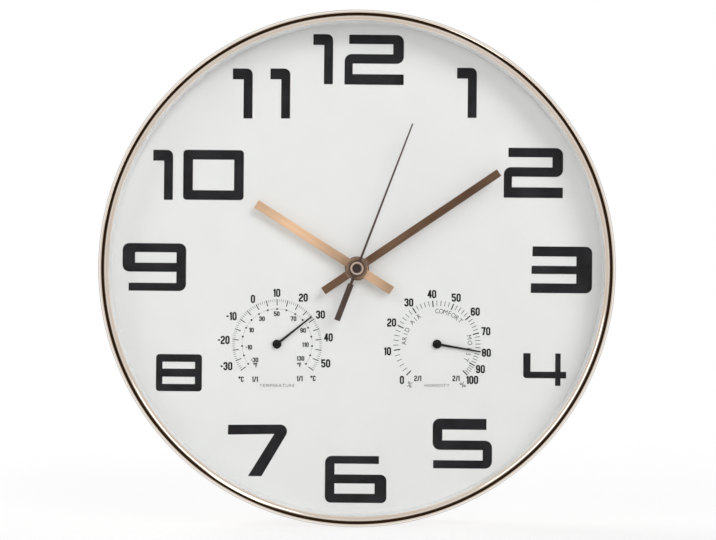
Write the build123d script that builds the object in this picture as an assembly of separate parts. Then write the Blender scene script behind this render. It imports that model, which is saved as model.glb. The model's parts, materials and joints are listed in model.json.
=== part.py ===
from build123d import *
import math
import os

# Round wall clock with a thermometer and a hygrometer in its dial. Millimetres.
# It is drawn lying on its back: z leads from the wall to the viewer, y to twelve, x to three.

# Case ring: one deep rose-gold ring with a rounded lip over the glass.
case_diameter = 300.0
ring_wall = 2.2
lip_width = 7.2
lip_height = 2.5
lip_edge_height = 0.7
lip_crest_share = 0.515
lip_edge_slope = 1.4
shoulder_drop = 6.0
boss_radius = 3.4
boss_inset = 3.0
boss_dial_gap = 0.4
pilot_depth = 9.0

# Glass, white wall behind it and dial.
glass_thickness = 2.0
glass_side_gap = 0.5
glass_chamfer = 0.3
reveal_height = 15.0
reveal_step = 1.3
reveal_side_gap = 0.4
dial_thickness = 0.8
dial_side_gap = 0.6
dial_hole_gap = 0.2

# Back cover with the shelf that carries the dial.
cover_recess = 2.5
cover_thickness = 2.0
cover_side_gap = 0.4
shelf_height = 17.5
shelf_wall = 2.0
shelf_inset = 9.0
rib_width = 1.6
rib_height = 5.0
rib_step_deg = 30
window_gap = 1.2
window_corner = 3.5
collar_wall = 1.6
collar_height = 5.0
vent_radius = 13.0
vent_width = 2.0
vent_pitch = 4.0
vents_each_side = 2
bead_margin = 6.5
bead_width = 2.4
bead_height = 0.8

# Screws of the cover and of the hanger.
screw_count = 6
screw_start_deg = 30.0
shank_radius = 1.1
shank_length = 7.0
shank_hole_gap = 0.3
head_radius = 2.7
head_height = 1.6
head_round = 0.7
slot_width = 0.6
slot_depth = 0.8
hanger_head_height = 0.9
hanger_head_round = 0.4
hanger_slot_depth = 0.5
hanger_shank_length = 4.0

# Steel hanger with its keyhole.
hanger_margin = 6.8
hanger_width = 40.0
hanger_height = 36.0
hanger_thickness = 1.2
hanger_corner = 4.0
hanger_screw_x = 14.5
hanger_boss_radius = 2.8
hanger_boss_height = 5.0
keyhole_radius = 4.5
keyhole_drop = 5.0
keyhole_travel = 10.5
keyhole_slot_width = 4.4
hanger_window_width = 18.0
hanger_window_height = 28.0
hanger_window_corner = 3.0

# Quartz movement: moulded case, lid and threaded bush.
movement_side = 56.0
movement_corner = 3.0
case_wall = 1.2
back_wall = 1.6
lid_thickness = 1.6
partition = 1.2
first_gap = 1.2
level_pitch = 2.2
level_count = 5
lid_gap = 1.1
pivot_depth = 0.8
pivot_gap = 0.05
press_gap = 0.02
running_gap = 0.08
bush_radius = 4.0
bush_beyond_nut = 0.6
thumb_notch_width = 16.0
thumb_notch_depth = 5.0

# Fixing of the movement to the dial.
rubber_thickness = 0.8
rubber_radius = 9.0
washer_thickness = 0.5
washer_radius = 7.0
washer_gap = 0.15
nut_thickness = 2.4
nut_across_flats = 11.0
nut_chamfer = 0.5

# Wheels. Every pair has its own module, the pairs on one axis share a centre distance.
pressure_deg = 20.0
addendum_share = 0.8
dedendum_share = 1.05
tooth_share = 0.88
pinion_shift_share = 0.53
cannon_shift_share = 0.41
wheel_thickness = 1.1
pinion_overlap = 0.3
hub_radius = 1.8
arbor_radius = 0.5
rotor_module = 0.22
step_module = 0.38
third_module = 0.25
motion_module = 0.475
pinion_teeth = 8
step_teeth = 48
second_teeth = 40
third_teeth = 64
centre_teeth = 60
cannon_teeth = 10
motion_teeth = 30
hour_teeth = 32
step_bearing_deg = -20.0
rotor_bearing_deg = 20.0
third_bearing_deg = 90.0
motion_bearing_deg = 180.0
web_hole_share = 0.17
web_circle_share = 0.62
web_holes = 5

# Pipes that carry the hands, one inside the other.
second_arbor_radius = 0.5
cannon_radius = 1.6
hour_pipe_radius = 2.5
motion_arbor_radius = 0.9
pipe_bottom = 0.3

# Setting knob on the back.
knob_radius = 6.0
knob_height = 3.0
knob_gap = 0.4
knob_flutes = 18
flute_radius = 0.7
knob_dish_radius = 4.0
knob_dish_depth = 0.8

# Stepping motor.
magnet_radius = 3.0
magnet_height = 2.8
magnet_gap = 0.4
stator_thickness = 0.8
stator_rise = 7.4
pole_width = 8.4
pole_height = 7.6
leg_width = 4.4
yoke_height = 3.4
core_thickness = 1.2
core_width = 3.2
core_top = 26.0
coil_x = 20.8
coil_bottom = 5.0
coil_length = 16.0
coil_radius = 4.0
flange_radius = 4.6
flange_thickness = 0.8
bobbin_radius = 2.5
post_radius = 1.3

# Battery, contact strips and circuit board.
battery_radius = 7.1
battery_length = 50.0
battery_nub_radius = 2.6
battery_nub_length = 1.4
battery_side_gap = 0.5
battery_floor_gap = 0.3
battery_end_gap = 0.05
battery_edge_round = 0.6
contact_thickness = 0.4
contact_width = 8.0
contact_height = 7.0
contact_rise = 3.3
tab_height = 1.8
tab_gap = 0.2
board_thickness = 0.8
board_left_gap = 0.6
board_column = 6.0
board_width = 14.0
board_bottom = 7.0
board_top_gap = 1.0
board_foot_gap = 0.25
board_peg_radius = 1.4
crystal_radius = 1.0
crystal_length = 6.0
chip_radius = 2.4
chip_height = 1.0

# Hands: flat bars with square ends, a round hub and a short tube under it.
hour_length = 69.9
hour_tail = 24.1
hour_width = 5.15
minute_length = 100.0
minute_tail = 23.65
minute_width = 4.6
hand_thickness = 0.7
hand_chamfer = 0.12
hand_hub_radius = 6.4
minute_hub_radius = 6.2
minute_ring_radius = 4.9
minute_ring_height = 0.35
collet_length = 0.9
collet_wall = 0.8
hand_clearance = 0.5
pipe_beyond_hand = 0.5
hour_rest_deg = -57.3
minute_rest_deg = 56.0
second_rest_deg = 21.05
second_length = 90.3
second_root_width = 1.35
second_tip_width = 0.85
second_tail = 32.4
second_tail_width = 3.45
second_tail_start = 9.7
second_neck_width = 1.7
second_thickness = 0.5
second_hub_radius = 3.8
second_collet_length = 0.8
cap_radius = 3.8
cap_height = 1.3
cap_bevel_width = 0.9
cap_bevel_height = 0.5
cap_floor = 0.6

# Thermometer and hygrometer: moulded cup, bimetal spiral, arbor, pointer and cap.
instrument_x = 47.0
instrument_drop = 44.45
cup_radius = 15.0
cup_depth = 8.0
cup_wall = 1.0
cup_floor = 1.2
bridge_width = 5.0
bridge_thickness = 1.2
coil_post_radius = 0.9
spiral_height = 3.0
spiral_start = 1.4
spiral_thickness = 0.3
spiral_growth = 0.75
spiral_half_turns = 10
collar_radius = 2.1
instrument_arbor_radius = 0.6
instrument_hole_gap = 0.4
pointer_rise = 1.0
pointer_thickness = 0.4
pointer_length = 26.0
pointer_base_width = 1.5
pointer_tip_width = 0.8
pointer_hub_radius = 2.2
pointer_cap_radius = 2.65
pointer_cap_height = 1.5
pointer_cap_skirt = 0.3
thermometer_rest_deg = 51.5
hygrometer_rest_deg = 100.0

cut_overrun = 1.0

# Depths of the layers, counted from the wall.
cover_front = cover_recess + cover_thickness
dial_back = cover_front + shelf_height
dial_front = dial_back + dial_thickness
glass_back = dial_front + reveal_height
glass_front = glass_back + glass_thickness
lip_crest = glass_front + lip_height
movement_front = dial_back - rubber_thickness
lid_back = movement_front - lid_thickness
train_back = lid_back - lid_gap - level_count * level_pitch - first_gap
movement_back = train_back - back_wall
washer_front = dial_front + washer_thickness
nut_front = washer_front + nut_thickness
bush_front = nut_front + bush_beyond_nut
hour_back = bush_front + hand_clearance + collet_length
hour_pipe_front = hour_back + hand_thickness + pipe_beyond_hand
minute_back = hour_pipe_front + hand_clearance + collet_length
cannon_front = minute_back + hand_thickness + minute_ring_height + pipe_beyond_hand
second_back = cannon_front + hand_clearance + second_collet_length
cap_front = second_back + second_thickness + cap_height

# Radii of the case.
ring_outer = case_diameter / 2
ring_inner = ring_outer - ring_wall
lip_inner = ring_outer - lip_width
crest_radius = ring_outer - lip_width * lip_crest_share
boss_circle = ring_inner - boss_inset
shelf_outer = ring_inner - shelf_inset
pilot_radius = shank_radius + press_gap
hanger_y = shelf_outer - shelf_wall - hanger_margin - hanger_height / 2

ON_BASE = (Align.CENTER, Align.CENTER, Align.MIN)


def rod(radius, low, high, x=0, y=0):
    """Upright cylinder between two depths."""
    return Pos(x, y, low) * Cylinder(radius, high - low, align=ON_BASE)


def pipe(outer, inner, low, high, x=0, y=0):
    """Upright tube between two depths."""
    bore = rod(inner, low - cut_overrun, high + cut_overrun, x, y)
    return rod(outer, low, high, x, y) - bore


def block(left, right, bottom, top, low, high):
    """Box between six planes."""
    box = Box(right - left, top - bottom, high - low, align=(Align.MIN, Align.MIN, Align.MIN))
    return Pos(left, bottom, low) * box


def plate(width, height, corner, low, high, y=0):
    """Flat plate with rounded corners."""
    return extrude(Pos(0, y, low) * RectangleRounded(width, height, corner), high - low)


def polar(radius, angle_deg):
    """Point at a distance and a bearing counted from three o'clock."""
    angle = math.radians(angle_deg)
    return radius * math.cos(angle), radius * math.sin(angle)


def turned(shape, clockwise_deg):
    """Swing a hand drawn towards twelve clockwise to its bearing."""
    return Rot(0, 0, -clockwise_deg) * shape


parts = {}

# Case ring: the lip rises to its crest in one sweep and rolls over the glass.
shoulder = (ring_outer, lip_crest - shoulder_drop)
crest = (crest_radius, lip_crest)
lip_edge = (lip_inner, glass_front + lip_edge_height)
outer_roll = Spline(shoulder, crest, tangents=((0, 1), (-1, 0)))
inner_roll = Spline(crest, lip_edge, tangents=((-1, 0), (-1, -lip_edge_slope)))
ring_walls = Polyline(
    lip_edge,
    (lip_inner, glass_front),
    (ring_inner, glass_front),
    (ring_inner, 0),
    (ring_outer, 0),
    shoulder,
)
ring = revolve(Plane.XZ * make_face(outer_roll + inner_roll + ring_walls), Axis.Z, 360)
screw_bearings = [screw_start_deg + 360 * k / screw_count for k in range(screw_count)]
for bearing in screw_bearings:
    boss_x, boss_y = polar(boss_circle, bearing)
    ring += rod(boss_radius, cover_front, dial_back - boss_dial_gap, boss_x, boss_y)
for bearing in screw_bearings:
    boss_x, boss_y = polar(boss_circle, bearing)
    pilot_front = cover_front + pilot_depth
    ring -= rod(pilot_radius, cover_front - cut_overrun, pilot_front, boss_x, boss_y)
parts["bezel_ring"] = ring

# Flat glass with a ground edge.
glass = rod(ring_inner - glass_side_gap, glass_back, glass_front)
parts["front_glass"] = chamfer(glass.edges(), glass_chamfer)

# White wall between dial and glass.
reveal_inner = lip_inner + reveal_step
parts["reveal_ring"] = pipe(ring_inner - reveal_side_gap, reveal_inner, dial_front, glass_back)

# Dial sheet with the holes for bush and pointers.
dial = rod(ring_inner - dial_side_gap, dial_back, dial_front)
dial -= rod(bush_radius + dial_hole_gap, dial_back - cut_overrun, dial_front + cut_overrun)
pointer_hole = instrument_arbor_radius + instrument_hole_gap
for side in (-1, 1):
    hole_x = side * instrument_x
    dial -= rod(pointer_hole, dial_back - cut_overrun, dial_front + cut_overrun, hole_x, -instrument_drop)
parts["dial_plate"] = dial

# Back cover: panel, dial shelf, ribs, collar round the movement, grilles and hanger bosses.
window_side = movement_side + 2 * window_gap
collar_side = window_side + 2 * collar_wall
cover = rod(ring_inner - cover_side_gap, cover_recess, cover_front)
cover += pipe(shelf_outer, shelf_outer - shelf_wall, cover_front, dial_back)
for bearing in range(0, 360, rib_step_deg):
    rib_front = cover_front + rib_height
    rib = block(0, shelf_outer - shelf_wall / 2, -rib_width / 2, rib_width / 2, cover_front, rib_front)
    if bearing != 90:
        cover += Rot(0, 0, bearing) * rib
window_reach = math.hypot(window_side, window_side) / 2
beads = (window_reach + bead_margin, hanger_y - hanger_height / 2 - bead_margin)
for bead_middle in beads:
    bead_outer = bead_middle + bead_width / 2
    cover += pipe(bead_outer, bead_middle - bead_width / 2, cover_recess - bead_height, cover_recess)
collar_corner = window_corner + collar_wall
cover += plate(collar_side, collar_side, collar_corner, cover_front, cover_front + collar_height)
for side in (-1, 1):
    boss_front = cover_front + hanger_boss_height
    cover += rod(hanger_boss_radius, cover_front, boss_front, side * hanger_screw_x, hanger_y)
cover_back_cut = cover_recess - cut_overrun
collar_front_cut = cover_front + rib_height + collar_height + cut_overrun
cover -= plate(window_side, window_side, window_corner, cover_back_cut, collar_front_cut)
cover -= plate(
    hanger_window_width,
    hanger_window_height,
    hanger_window_corner,
    cover_back_cut,
    cover_front + cut_overrun,
    hanger_y,
)
for side in (-1, 1):
    pilot_front = cover_front + hanger_boss_height
    cover -= rod(pilot_radius, cover_back_cut, pilot_front - shank_hole_gap, side * hanger_screw_x, hanger_y)
    for row in range(-vents_each_side, vents_each_side + 1):
        offset = row * vent_pitch
        half_slot = math.sqrt(vent_radius**2 - offset**2)
        slot = SlotOverall(2 * half_slot, vent_width)
        slot_place = Pos(side * instrument_x, offset - instrument_drop, cover_back_cut)
        cover -= extrude(slot_place * slot, cover_thickness + 2 * cut_overrun)
for bearing in screw_bearings:
    hole_x, hole_y = polar(boss_circle, bearing)
    cover -= rod(shank_radius + shank_hole_gap, cover_back_cut, cover_front + cut_overrun, hole_x, hole_y)
parts["back_cover"] = cover


def pan_screw(under_head, height, rounding, cross_depth, length):
    """Pan-head screw pointing to the viewer, with a cross recess in its head."""
    head = rod(head_radius, under_head - height, under_head)
    head = fillet(head.edges().sort_by(Axis.Z)[0], rounding)
    cross_floor = under_head - height + cross_depth
    for angle in (0, 90):
        arm = block(-head_radius, head_radius, -slot_width / 2, slot_width / 2, 0, cross_floor)
        arm = arm & rod(head_radius - rounding, 0, cross_floor)
        head -= Rot(0, 0, angle) * arm
    return head + rod(shank_radius, under_head, under_head + length)


cover_screw = pan_screw(cover_recess, head_height, head_round, slot_depth, shank_length)
cover_screws = [Pos(*polar(boss_circle, bearing)) * cover_screw for bearing in screw_bearings]
parts["cover_screws"] = Compound(children=cover_screws)

# Stamped hanger: the screw head enters below and the shank slides up the slot.
hanger_back = cover_recess - hanger_thickness
keyhole_y = hanger_y - keyhole_drop
hanger = plate(hanger_width, hanger_height, hanger_corner, hanger_back, cover_recess, hanger_y)
hanger -= rod(keyhole_radius, hanger_back - cut_overrun, cover_recess + cut_overrun, 0, keyhole_y)
slot_top = keyhole_y + keyhole_travel
slot_half = keyhole_slot_width / 2
hanger_front_cut = cover_recess + cut_overrun
hanger -= block(-slot_half, slot_half, keyhole_y, slot_top, hanger_back - cut_overrun, hanger_front_cut)
hanger -= rod(slot_half, hanger_back - cut_overrun, hanger_front_cut, 0, slot_top)
for side in (-1, 1):
    hole_radius = shank_radius + shank_hole_gap
    hole_x = side * hanger_screw_x
    hanger -= rod(hole_radius, hanger_back - cut_overrun, hanger_front_cut, hole_x, hanger_y)
parts["hanger_plate"] = hanger
hanger_reach = hanger_thickness + hanger_shank_length
hanger_screw = pan_screw(
    hanger_back, hanger_head_height, hanger_head_round, hanger_slot_depth, hanger_reach
)
hanger_screws = [Pos(side * hanger_screw_x, hanger_y) * hanger_screw for side in (-1, 1)]
parts["hanger_screws"] = Compound(children=hanger_screws)

# Places of the wheels. The third wheel turns between two pairs on the hand axis.
third_distance = (pinion_teeth + third_teeth) * third_module / 2
centre_module = 2 * third_distance / (pinion_teeth + centre_teeth)
step_distance = (pinion_teeth + second_teeth) * step_module / 2
rotor_distance = (pinion_teeth + step_teeth) * rotor_module / 2
motion_distance = (cannon_teeth + motion_teeth) * motion_module / 2
third_x, third_y = polar(third_distance, third_bearing_deg)
step_x, step_y = polar(step_distance, step_bearing_deg)
motion_x, motion_y = polar(motion_distance, motion_bearing_deg)
rotor_dx, rotor_dy = polar(rotor_distance, rotor_bearing_deg)
rotor_x = step_x + rotor_dx
rotor_y = step_y + rotor_dy

# Battery bay across the foot of the movement.
half_side = movement_side / 2
bay_half = half_side - case_wall
bay_bottom = -bay_half
bay_top = bay_bottom + 2 * (battery_radius + battery_side_gap)
bay_middle = (bay_bottom + bay_top) / 2
chamber_bottom = bay_top + partition
battery_depth = lid_back - battery_floor_gap - battery_radius
stator_back = train_back + stator_rise
stator_front = stator_back + stator_thickness
board_front = lid_back - lid_gap + first_gap - board_foot_gap
board_back = board_front - board_thickness
board_left = board_left_gap - bay_half
tab_front = board_back
tab_back = tab_front - tab_height

# Movement case: tray with chamber, open battery bay, bearings and motor posts.
tray = plate(movement_side, movement_side, movement_corner, movement_back, lid_back)
tray -= block(-bay_half, bay_half, chamber_bottom, bay_half, train_back, lid_back + cut_overrun)
tray -= block(-bay_half, bay_half, bay_bottom, bay_top, movement_back - cut_overrun, lid_back + cut_overrun)
tab_slot_inner = bay_half - contact_thickness - tab_gap
for left, right in ((-bay_half, -tab_slot_inner), (tab_slot_inner, bay_half)):
    slot_low = tab_back - tab_gap
    slot_high = lid_back + cut_overrun
    tray -= block(left, right, bay_top - cut_overrun, chamber_bottom + cut_overrun, slot_low, slot_high)
notch_half = thumb_notch_width / 2
notch_front = movement_back + thumb_notch_depth
tray -= block(
    -notch_half,
    notch_half,
    -half_side - cut_overrun,
    bay_bottom + cut_overrun,
    movement_back - cut_overrun,
    notch_front,
)
leg_x = rotor_x - magnet_radius - magnet_gap + leg_width / 2
post_places = ((leg_x, core_top - yoke_height / 2), (leg_x, core_top / 2), (coil_x + core_width, rotor_y))
for post_x, post_y in post_places:
    tray += rod(post_radius, movement_back + back_wall / 2, stator_back, post_x, post_y)
bearing_places = ((third_x, third_y), (step_x, step_y), (rotor_x, rotor_y), (0, 0))
bearing_radius = arbor_radius + pivot_gap
for bearing_x, bearing_y in bearing_places:
    tray -= rod(bearing_radius, train_back - pivot_depth, train_back + cut_overrun, bearing_x, bearing_y)
tray -= rod(
    motion_arbor_radius + pivot_gap, movement_back - cut_overrun, train_back + cut_overrun, motion_x, motion_y
)
parts["movement_case"] = tray

# Movement lid with bearings and the pegs of the circuit board.
peg_places = (
    (board_left + board_column / 2, board_bottom + board_column / 2),
    (board_left + board_column / 2, bay_half - board_top_gap - board_column / 2),
    (board_left + board_width - board_column / 2, bay_half - board_top_gap - board_column / 2),
)
lid = plate(movement_side, movement_side, movement_corner, lid_back, movement_front)
for peg_x, peg_y in peg_places:
    lid += rod(board_peg_radius, board_front, lid_back + lid_thickness / 2, peg_x, peg_y)
lid -= rod(bush_radius + press_gap, lid_back - cut_overrun, movement_front + cut_overrun)
for bearing_x, bearing_y in bearing_places[:-1]:
    lid -= rod(bearing_radius, lid_back - cut_overrun, lid_back + pivot_depth, bearing_x, bearing_y)
lid -= rod(
    motion_arbor_radius + pivot_gap, lid_back - cut_overrun, lid_back + pivot_depth, motion_x, motion_y
)
parts["movement_lid"] = lid

# Bush, washers and nut that clamp the movement to the dial.
parts["threaded_bush"] = pipe(bush_radius, hour_pipe_radius + running_gap, lid_back, bush_front)
parts["rubber_washer"] = pipe(rubber_radius, bush_radius + washer_gap, movement_front, dial_back)
parts["flat_washer"] = pipe(washer_radius, bush_radius + washer_gap, dial_front, washer_front)
nut_corner = nut_across_flats / math.sqrt(3)
nut = extrude(Pos(0, 0, washer_front) * RegularPolygon(nut_corner, 6), nut_thickness)
nut &= Pos(0, 0, washer_front) * Cone(
    nut_corner + nut_thickness - nut_chamfer, nut_corner - nut_chamfer, nut_thickness, align=ON_BASE
)
nut -= rod(bush_radius + press_gap, washer_front - cut_overrun, nut_front + cut_overrun)
parts["mounting_nut"] = nut


def involute(angle):
    return math.tan(angle) - angle


def gear(teeth, module, shift_share, low, high, tooth_deg):
    """Involute gear with thinned teeth; one tooth points at the bearing tooth_deg."""
    pressure = math.radians(pressure_deg)
    pitch_radius = teeth * module / 2
    base_radius = pitch_radius * math.cos(pressure)
    tip_radius = pitch_radius + (addendum_share + shift_share) * module
    root_radius = pitch_radius - (dedendum_share - shift_share) * module
    flank_radius = max(base_radius, root_radius)
    middle_radius = (flank_radius + tip_radius) / 2
    thinning = (1 - tooth_share) * math.pi / (2 * teeth)

    def half_angle(radius):
        slope = math.acos(min(1.0, base_radius / radius))
        at_pitch = (math.pi / 2 + 2 * shift_share * math.tan(pressure)) / teeth
        return at_pitch + involute(pressure) - involute(slope) - thinning

    def point(radius, angle):
        return radius * math.cos(angle), radius * math.sin(angle)

    foot, waist, tip = (half_angle(r) for r in (flank_radius, middle_radius, tip_radius))
    step = 2 * math.pi / teeth
    edges = []
    for k in range(teeth):
        middle = math.radians(tooth_deg) + k * step
        rise = point(flank_radius, middle - foot)
        fall = point(flank_radius, middle + foot)
        tip_start = point(tip_radius, middle - tip)
        tip_end = point(tip_radius, middle + tip)
        if root_radius < flank_radius:
            edges.append(Line(point(root_radius, middle - foot), rise))
        edges.append(ThreePointArc(rise, point(middle_radius, middle - waist), tip_start))
        edges.append(Line(tip_start, tip_end))
        edges.append(ThreePointArc(tip_end, point(middle_radius, middle + waist), fall))
        if root_radius < flank_radius:
            edges.append(Line(fall, point(root_radius, middle + foot)))
        edges.append(Line(point(root_radius, middle + foot), point(root_radius, middle + step - foot)))
    return extrude(Pos(0, 0, low) * make_face(edges), high - low)


def level(number):
    """Depth of the back of a wheel on one of the five levels."""
    return train_back + first_gap + number * level_pitch


def wheel(teeth, module, shift_share, number, mesh_deg):
    """Wheel of a level, with a tooth gap at the bearing of its pinion and holes in its web."""
    low = level(number)
    high = low + wheel_thickness
    disc = gear(teeth, module, -shift_share, low, high, mesh_deg + 180 / teeth)
    radius = teeth * module / 2
    for k in range(web_holes):
        hole_x, hole_y = polar(radius * web_circle_share, 360 * k / web_holes)
        disc -= rod(radius * web_hole_share, low - cut_overrun, high + cut_overrun, hole_x, hole_y)
    return disc


def pinion(teeth, module, shift_share, number, mesh_deg):
    """Pinion of a level, a little longer than its wheel, with a tooth towards the wheel."""
    low = level(number) - pinion_overlap
    high = level(number) + wheel_thickness + pinion_overlap
    return gear(teeth, module, shift_share, low, high, mesh_deg)


def hub(low_number, high_number, radius):
    """Plain hub that joins the wheels of two levels."""
    return rod(radius, level(low_number), level(high_number) + wheel_thickness)


arbor_back = train_back - pivot_depth + pivot_gap
arbor_front = lid_back + pivot_depth - pivot_gap
arbor = rod(arbor_radius, arbor_back, arbor_front)

# Rotor: ring magnet on a pinion that drives the step wheel.
stator_middle = (stator_back + stator_front) / 2
magnet_back = stator_middle - magnet_height / 2
magnet = pipe(magnet_radius, hub_radius / 2 + press_gap, magnet_back, magnet_back + magnet_height)
parts["rotor_magnet"] = Pos(rotor_x, rotor_y) * magnet
rotor_pinion = pinion(pinion_teeth, rotor_module, pinion_shift_share, 1, rotor_bearing_deg + 180)
rotor_pinion += rod(hub_radius, level(1) + wheel_thickness + pinion_overlap, magnet_back)
rotor_pinion += rod(hub_radius / 2, magnet_back, magnet_back + magnet_height) + arbor
parts["rotor_pinion"] = Pos(rotor_x, rotor_y) * rotor_pinion

# Step wheel: wheel under the rotor, pinion under the seconds wheel.
step = wheel(step_teeth, rotor_module, pinion_shift_share, 1, rotor_bearing_deg)
step += pinion(pinion_teeth, step_module, pinion_shift_share, 0, step_bearing_deg + 180)
step += rod(arbor_radius + press_gap, level(0), level(1) + wheel_thickness) + arbor
parts["step_wheel"] = Pos(step_x, step_y) * step

# Seconds wheel on its long steel arbor through all the pipes.
second_wheel = wheel(second_teeth, step_module, pinion_shift_share, 0, step_bearing_deg)
second_wheel += pinion(pinion_teeth, third_module, pinion_shift_share, 1, third_bearing_deg)
second_wheel += rod(third_module * pinion_teeth / 2, level(0), level(1) - pinion_overlap)
second_bore = second_arbor_radius + press_gap
second_wheel -= rod(second_bore, level(0) - cut_overrun, level(1) + level_pitch)
parts["second_wheel"] = second_wheel
second_arbor_front = second_back + second_thickness + cap_floor / 2
parts["second_arbor"] = rod(second_arbor_radius, arbor_back, second_arbor_front)

# Third wheel between seconds and minutes.
third = wheel(third_teeth, third_module, pinion_shift_share, 1, third_bearing_deg + 180)
third += pinion(pinion_teeth, centre_module, pinion_shift_share, 2, third_bearing_deg + 180)
third += rod(third_module * pinion_teeth / 2, level(1), level(2) - pinion_overlap) + arbor
parts["third_wheel"] = Pos(third_x, third_y) * third

# Centre wheel held by friction on the cannon pinion, whose pipe carries the minute hand.
centre = wheel(centre_teeth, centre_module, pinion_shift_share, 2, third_bearing_deg)
centre += rod(hub_radius + collet_wall, level(2) - pipe_bottom, level(2) + wheel_thickness + pipe_bottom)
centre -= rod(cannon_radius + press_gap, level(2) - cut_overrun, level(3))
parts["centre_wheel"] = centre
cannon = rod(cannon_radius, level(2) - pipe_bottom, cannon_front)
cannon += pinion(cannon_teeth, motion_module, cannon_shift_share, 3, motion_bearing_deg)
cannon -= rod(second_arbor_radius + running_gap, level(2) - cut_overrun, cannon_front + cut_overrun)
parts["cannon_pinion"] = cannon

# Motion wheel and the knob that turns it from the back.
knob_front = movement_back - knob_gap
knob_back = knob_front - knob_height
motion = wheel(motion_teeth, motion_module, cannon_shift_share, 3, motion_bearing_deg + 180)
motion += pinion(pinion_teeth, motion_module, pinion_shift_share, 4, motion_bearing_deg + 180)
motion += rod(motion_arbor_radius, knob_back + knob_dish_depth, arbor_front) + hub(3, 4, hub_radius / 2)
parts["motion_wheel"] = Pos(motion_x, motion_y) * motion
knob = rod(knob_radius, knob_back, knob_front)
for k in range(knob_flutes):
    flute_x, flute_y = polar(knob_radius, 360 * k / knob_flutes)
    knob -= rod(flute_radius, knob_back - cut_overrun, knob_front + cut_overrun, flute_x, flute_y)
knob -= rod(knob_dish_radius, knob_back - cut_overrun, knob_back + knob_dish_depth)
knob -= rod(motion_arbor_radius + press_gap, knob_back, knob_front + cut_overrun)
parts["setting_knob"] = Pos(motion_x, motion_y) * knob

# Hour wheel with the pipe of the hour hand.
hour_wheel = wheel(hour_teeth, motion_module, pinion_shift_share, 4, motion_bearing_deg)
hour_wheel += rod(hour_pipe_radius, level(4) - pipe_bottom, hour_pipe_front)
hour_wheel -= rod(cannon_radius + running_gap, level(4) - cut_overrun, hour_pipe_front + cut_overrun)
parts["hour_wheel"] = hour_wheel

# Stepping motor: stator plate, coil core, bobbin and winding.
pole_left = rotor_x - magnet_radius - magnet_gap
stator = block(pole_left, pole_left + leg_width, rotor_y, core_top, stator_back, stator_front)
yoke_right = coil_x + core_width / 2
stator += block(pole_left, yoke_right, core_top - yoke_height, core_top, stator_back, stator_front)
pole_bottom = rotor_y - pole_height / 2
pole_top = rotor_y + pole_height / 2
pole_right = coil_x + core_width + post_radius
pole_shoe_left = rotor_x - pole_width / 2
stator += block(pole_shoe_left, pole_right, pole_bottom, pole_top, stator_back, stator_front)
rotor_hole = magnet_radius + magnet_gap
stator -= rod(rotor_hole, stator_back - cut_overrun, stator_front + cut_overrun, rotor_x, rotor_y)
parts["stator_plate"] = stator
core_back = stator_back - core_thickness
core_left = coil_x - core_width / 2
parts["coil_core"] = block(core_left, core_left + core_width, pole_bottom, core_top, core_back, stator_back)
core_middle = (core_back + stator_back) / 2
along_core = Pos(coil_x, coil_bottom, core_middle) * Rot(-90, 0, 0)
core_slot_width = core_width + 2 * press_gap
core_slot_height = core_thickness + 2 * press_gap
bobbin = rod(bobbin_radius, 0, coil_length)
bobbin += rod(flange_radius, 0, flange_thickness)
bobbin += rod(flange_radius, coil_length - flange_thickness, coil_length)
bobbin -= block(
    -core_slot_width / 2,
    core_slot_width / 2,
    -core_slot_height / 2,
    core_slot_height / 2,
    -cut_overrun,
    coil_length + cut_overrun,
)
parts["coil_bobbin"] = along_core * bobbin
winding_start = flange_thickness + press_gap
winding = pipe(coil_radius, bobbin_radius + press_gap, winding_start, coil_length - winding_start)
parts["coil_winding"] = along_core * winding

# Circuit board with crystal can and sealed chip.
board_right = board_left + board_width
board_top = bay_half - board_top_gap
board = block(board_left, board_right, board_bottom, board_top, board_back, board_front)
board += block(
    board_left, board_left + board_column, chamber_bottom + board_foot_gap, board_top, board_back, board_front
)
parts["circuit_board"] = board
crystal_x = board_right - 2 * crystal_radius
crystal_bottom = (board_bottom + board_top - crystal_length) / 2
crystal = Pos(crystal_x, crystal_bottom, board_back - crystal_radius) * Rot(-90, 0, 0)
parts["quartz_crystal"] = crystal * rod(crystal_radius, 0, crystal_length)
chip_cap = rod(chip_radius, board_back - chip_height, board_back)
chip_cap = fillet(chip_cap.edges().sort_by(Axis.Z)[0], chip_height / 2)
chip_x = board_left + board_column
parts["sealed_chip"] = Pos(chip_x, (board_bottom + board_top) / 2) * chip_cap

# Battery with a plain cell body, its positive nub towards three o'clock.
nub_tip = bay_half - contact_thickness - battery_end_gap
cell_left = nub_tip - battery_length
cell_right = nub_tip - battery_nub_length
along_x = Pos(0, bay_middle, battery_depth) * Rot(0, 90, 0)
cell = rod(battery_radius, cell_left, cell_right)
cell = fillet(cell.edges().filter_by(GeomType.CIRCLE), battery_edge_round)
parts["battery"] = along_x * (cell + rod(battery_nub_radius, cell_right, nub_tip))

# Contact strips: a plate or bowed spring in the bay and a tab that leads to the board.
contact_low = battery_depth - contact_height / 2
contact_bottom = bay_middle - contact_width / 2
contact_inner = bay_half - contact_thickness
positive = block(contact_inner, bay_half, contact_bottom, bay_top - tab_gap, contact_low, tab_front)
tab_bottom = chamber_bottom + board_foot_gap + tab_gap
tab_top = tab_bottom + contact_thickness
positive += block(contact_inner, bay_half, contact_bottom, tab_top, tab_back, tab_front)
positive += block(board_left + board_column / 2, bay_half, tab_bottom, tab_top, tab_back, tab_front)
parts["positive_contact"] = positive
negative = block(-bay_half, -contact_inner, contact_bottom, bay_top - tab_gap, contact_low, tab_front)
negative += block(-bay_half, -contact_inner, contact_bottom, tab_top + contact_rise, tab_back, tab_front)
negative += block(
    -bay_half, board_left + board_column / 4, tab_top + contact_rise - contact_thickness,
    tab_top + contact_rise, tab_back, tab_front,
)
spring_reach = cell_left - battery_end_gap
spring_foot = contact_thickness - bay_half
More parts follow.
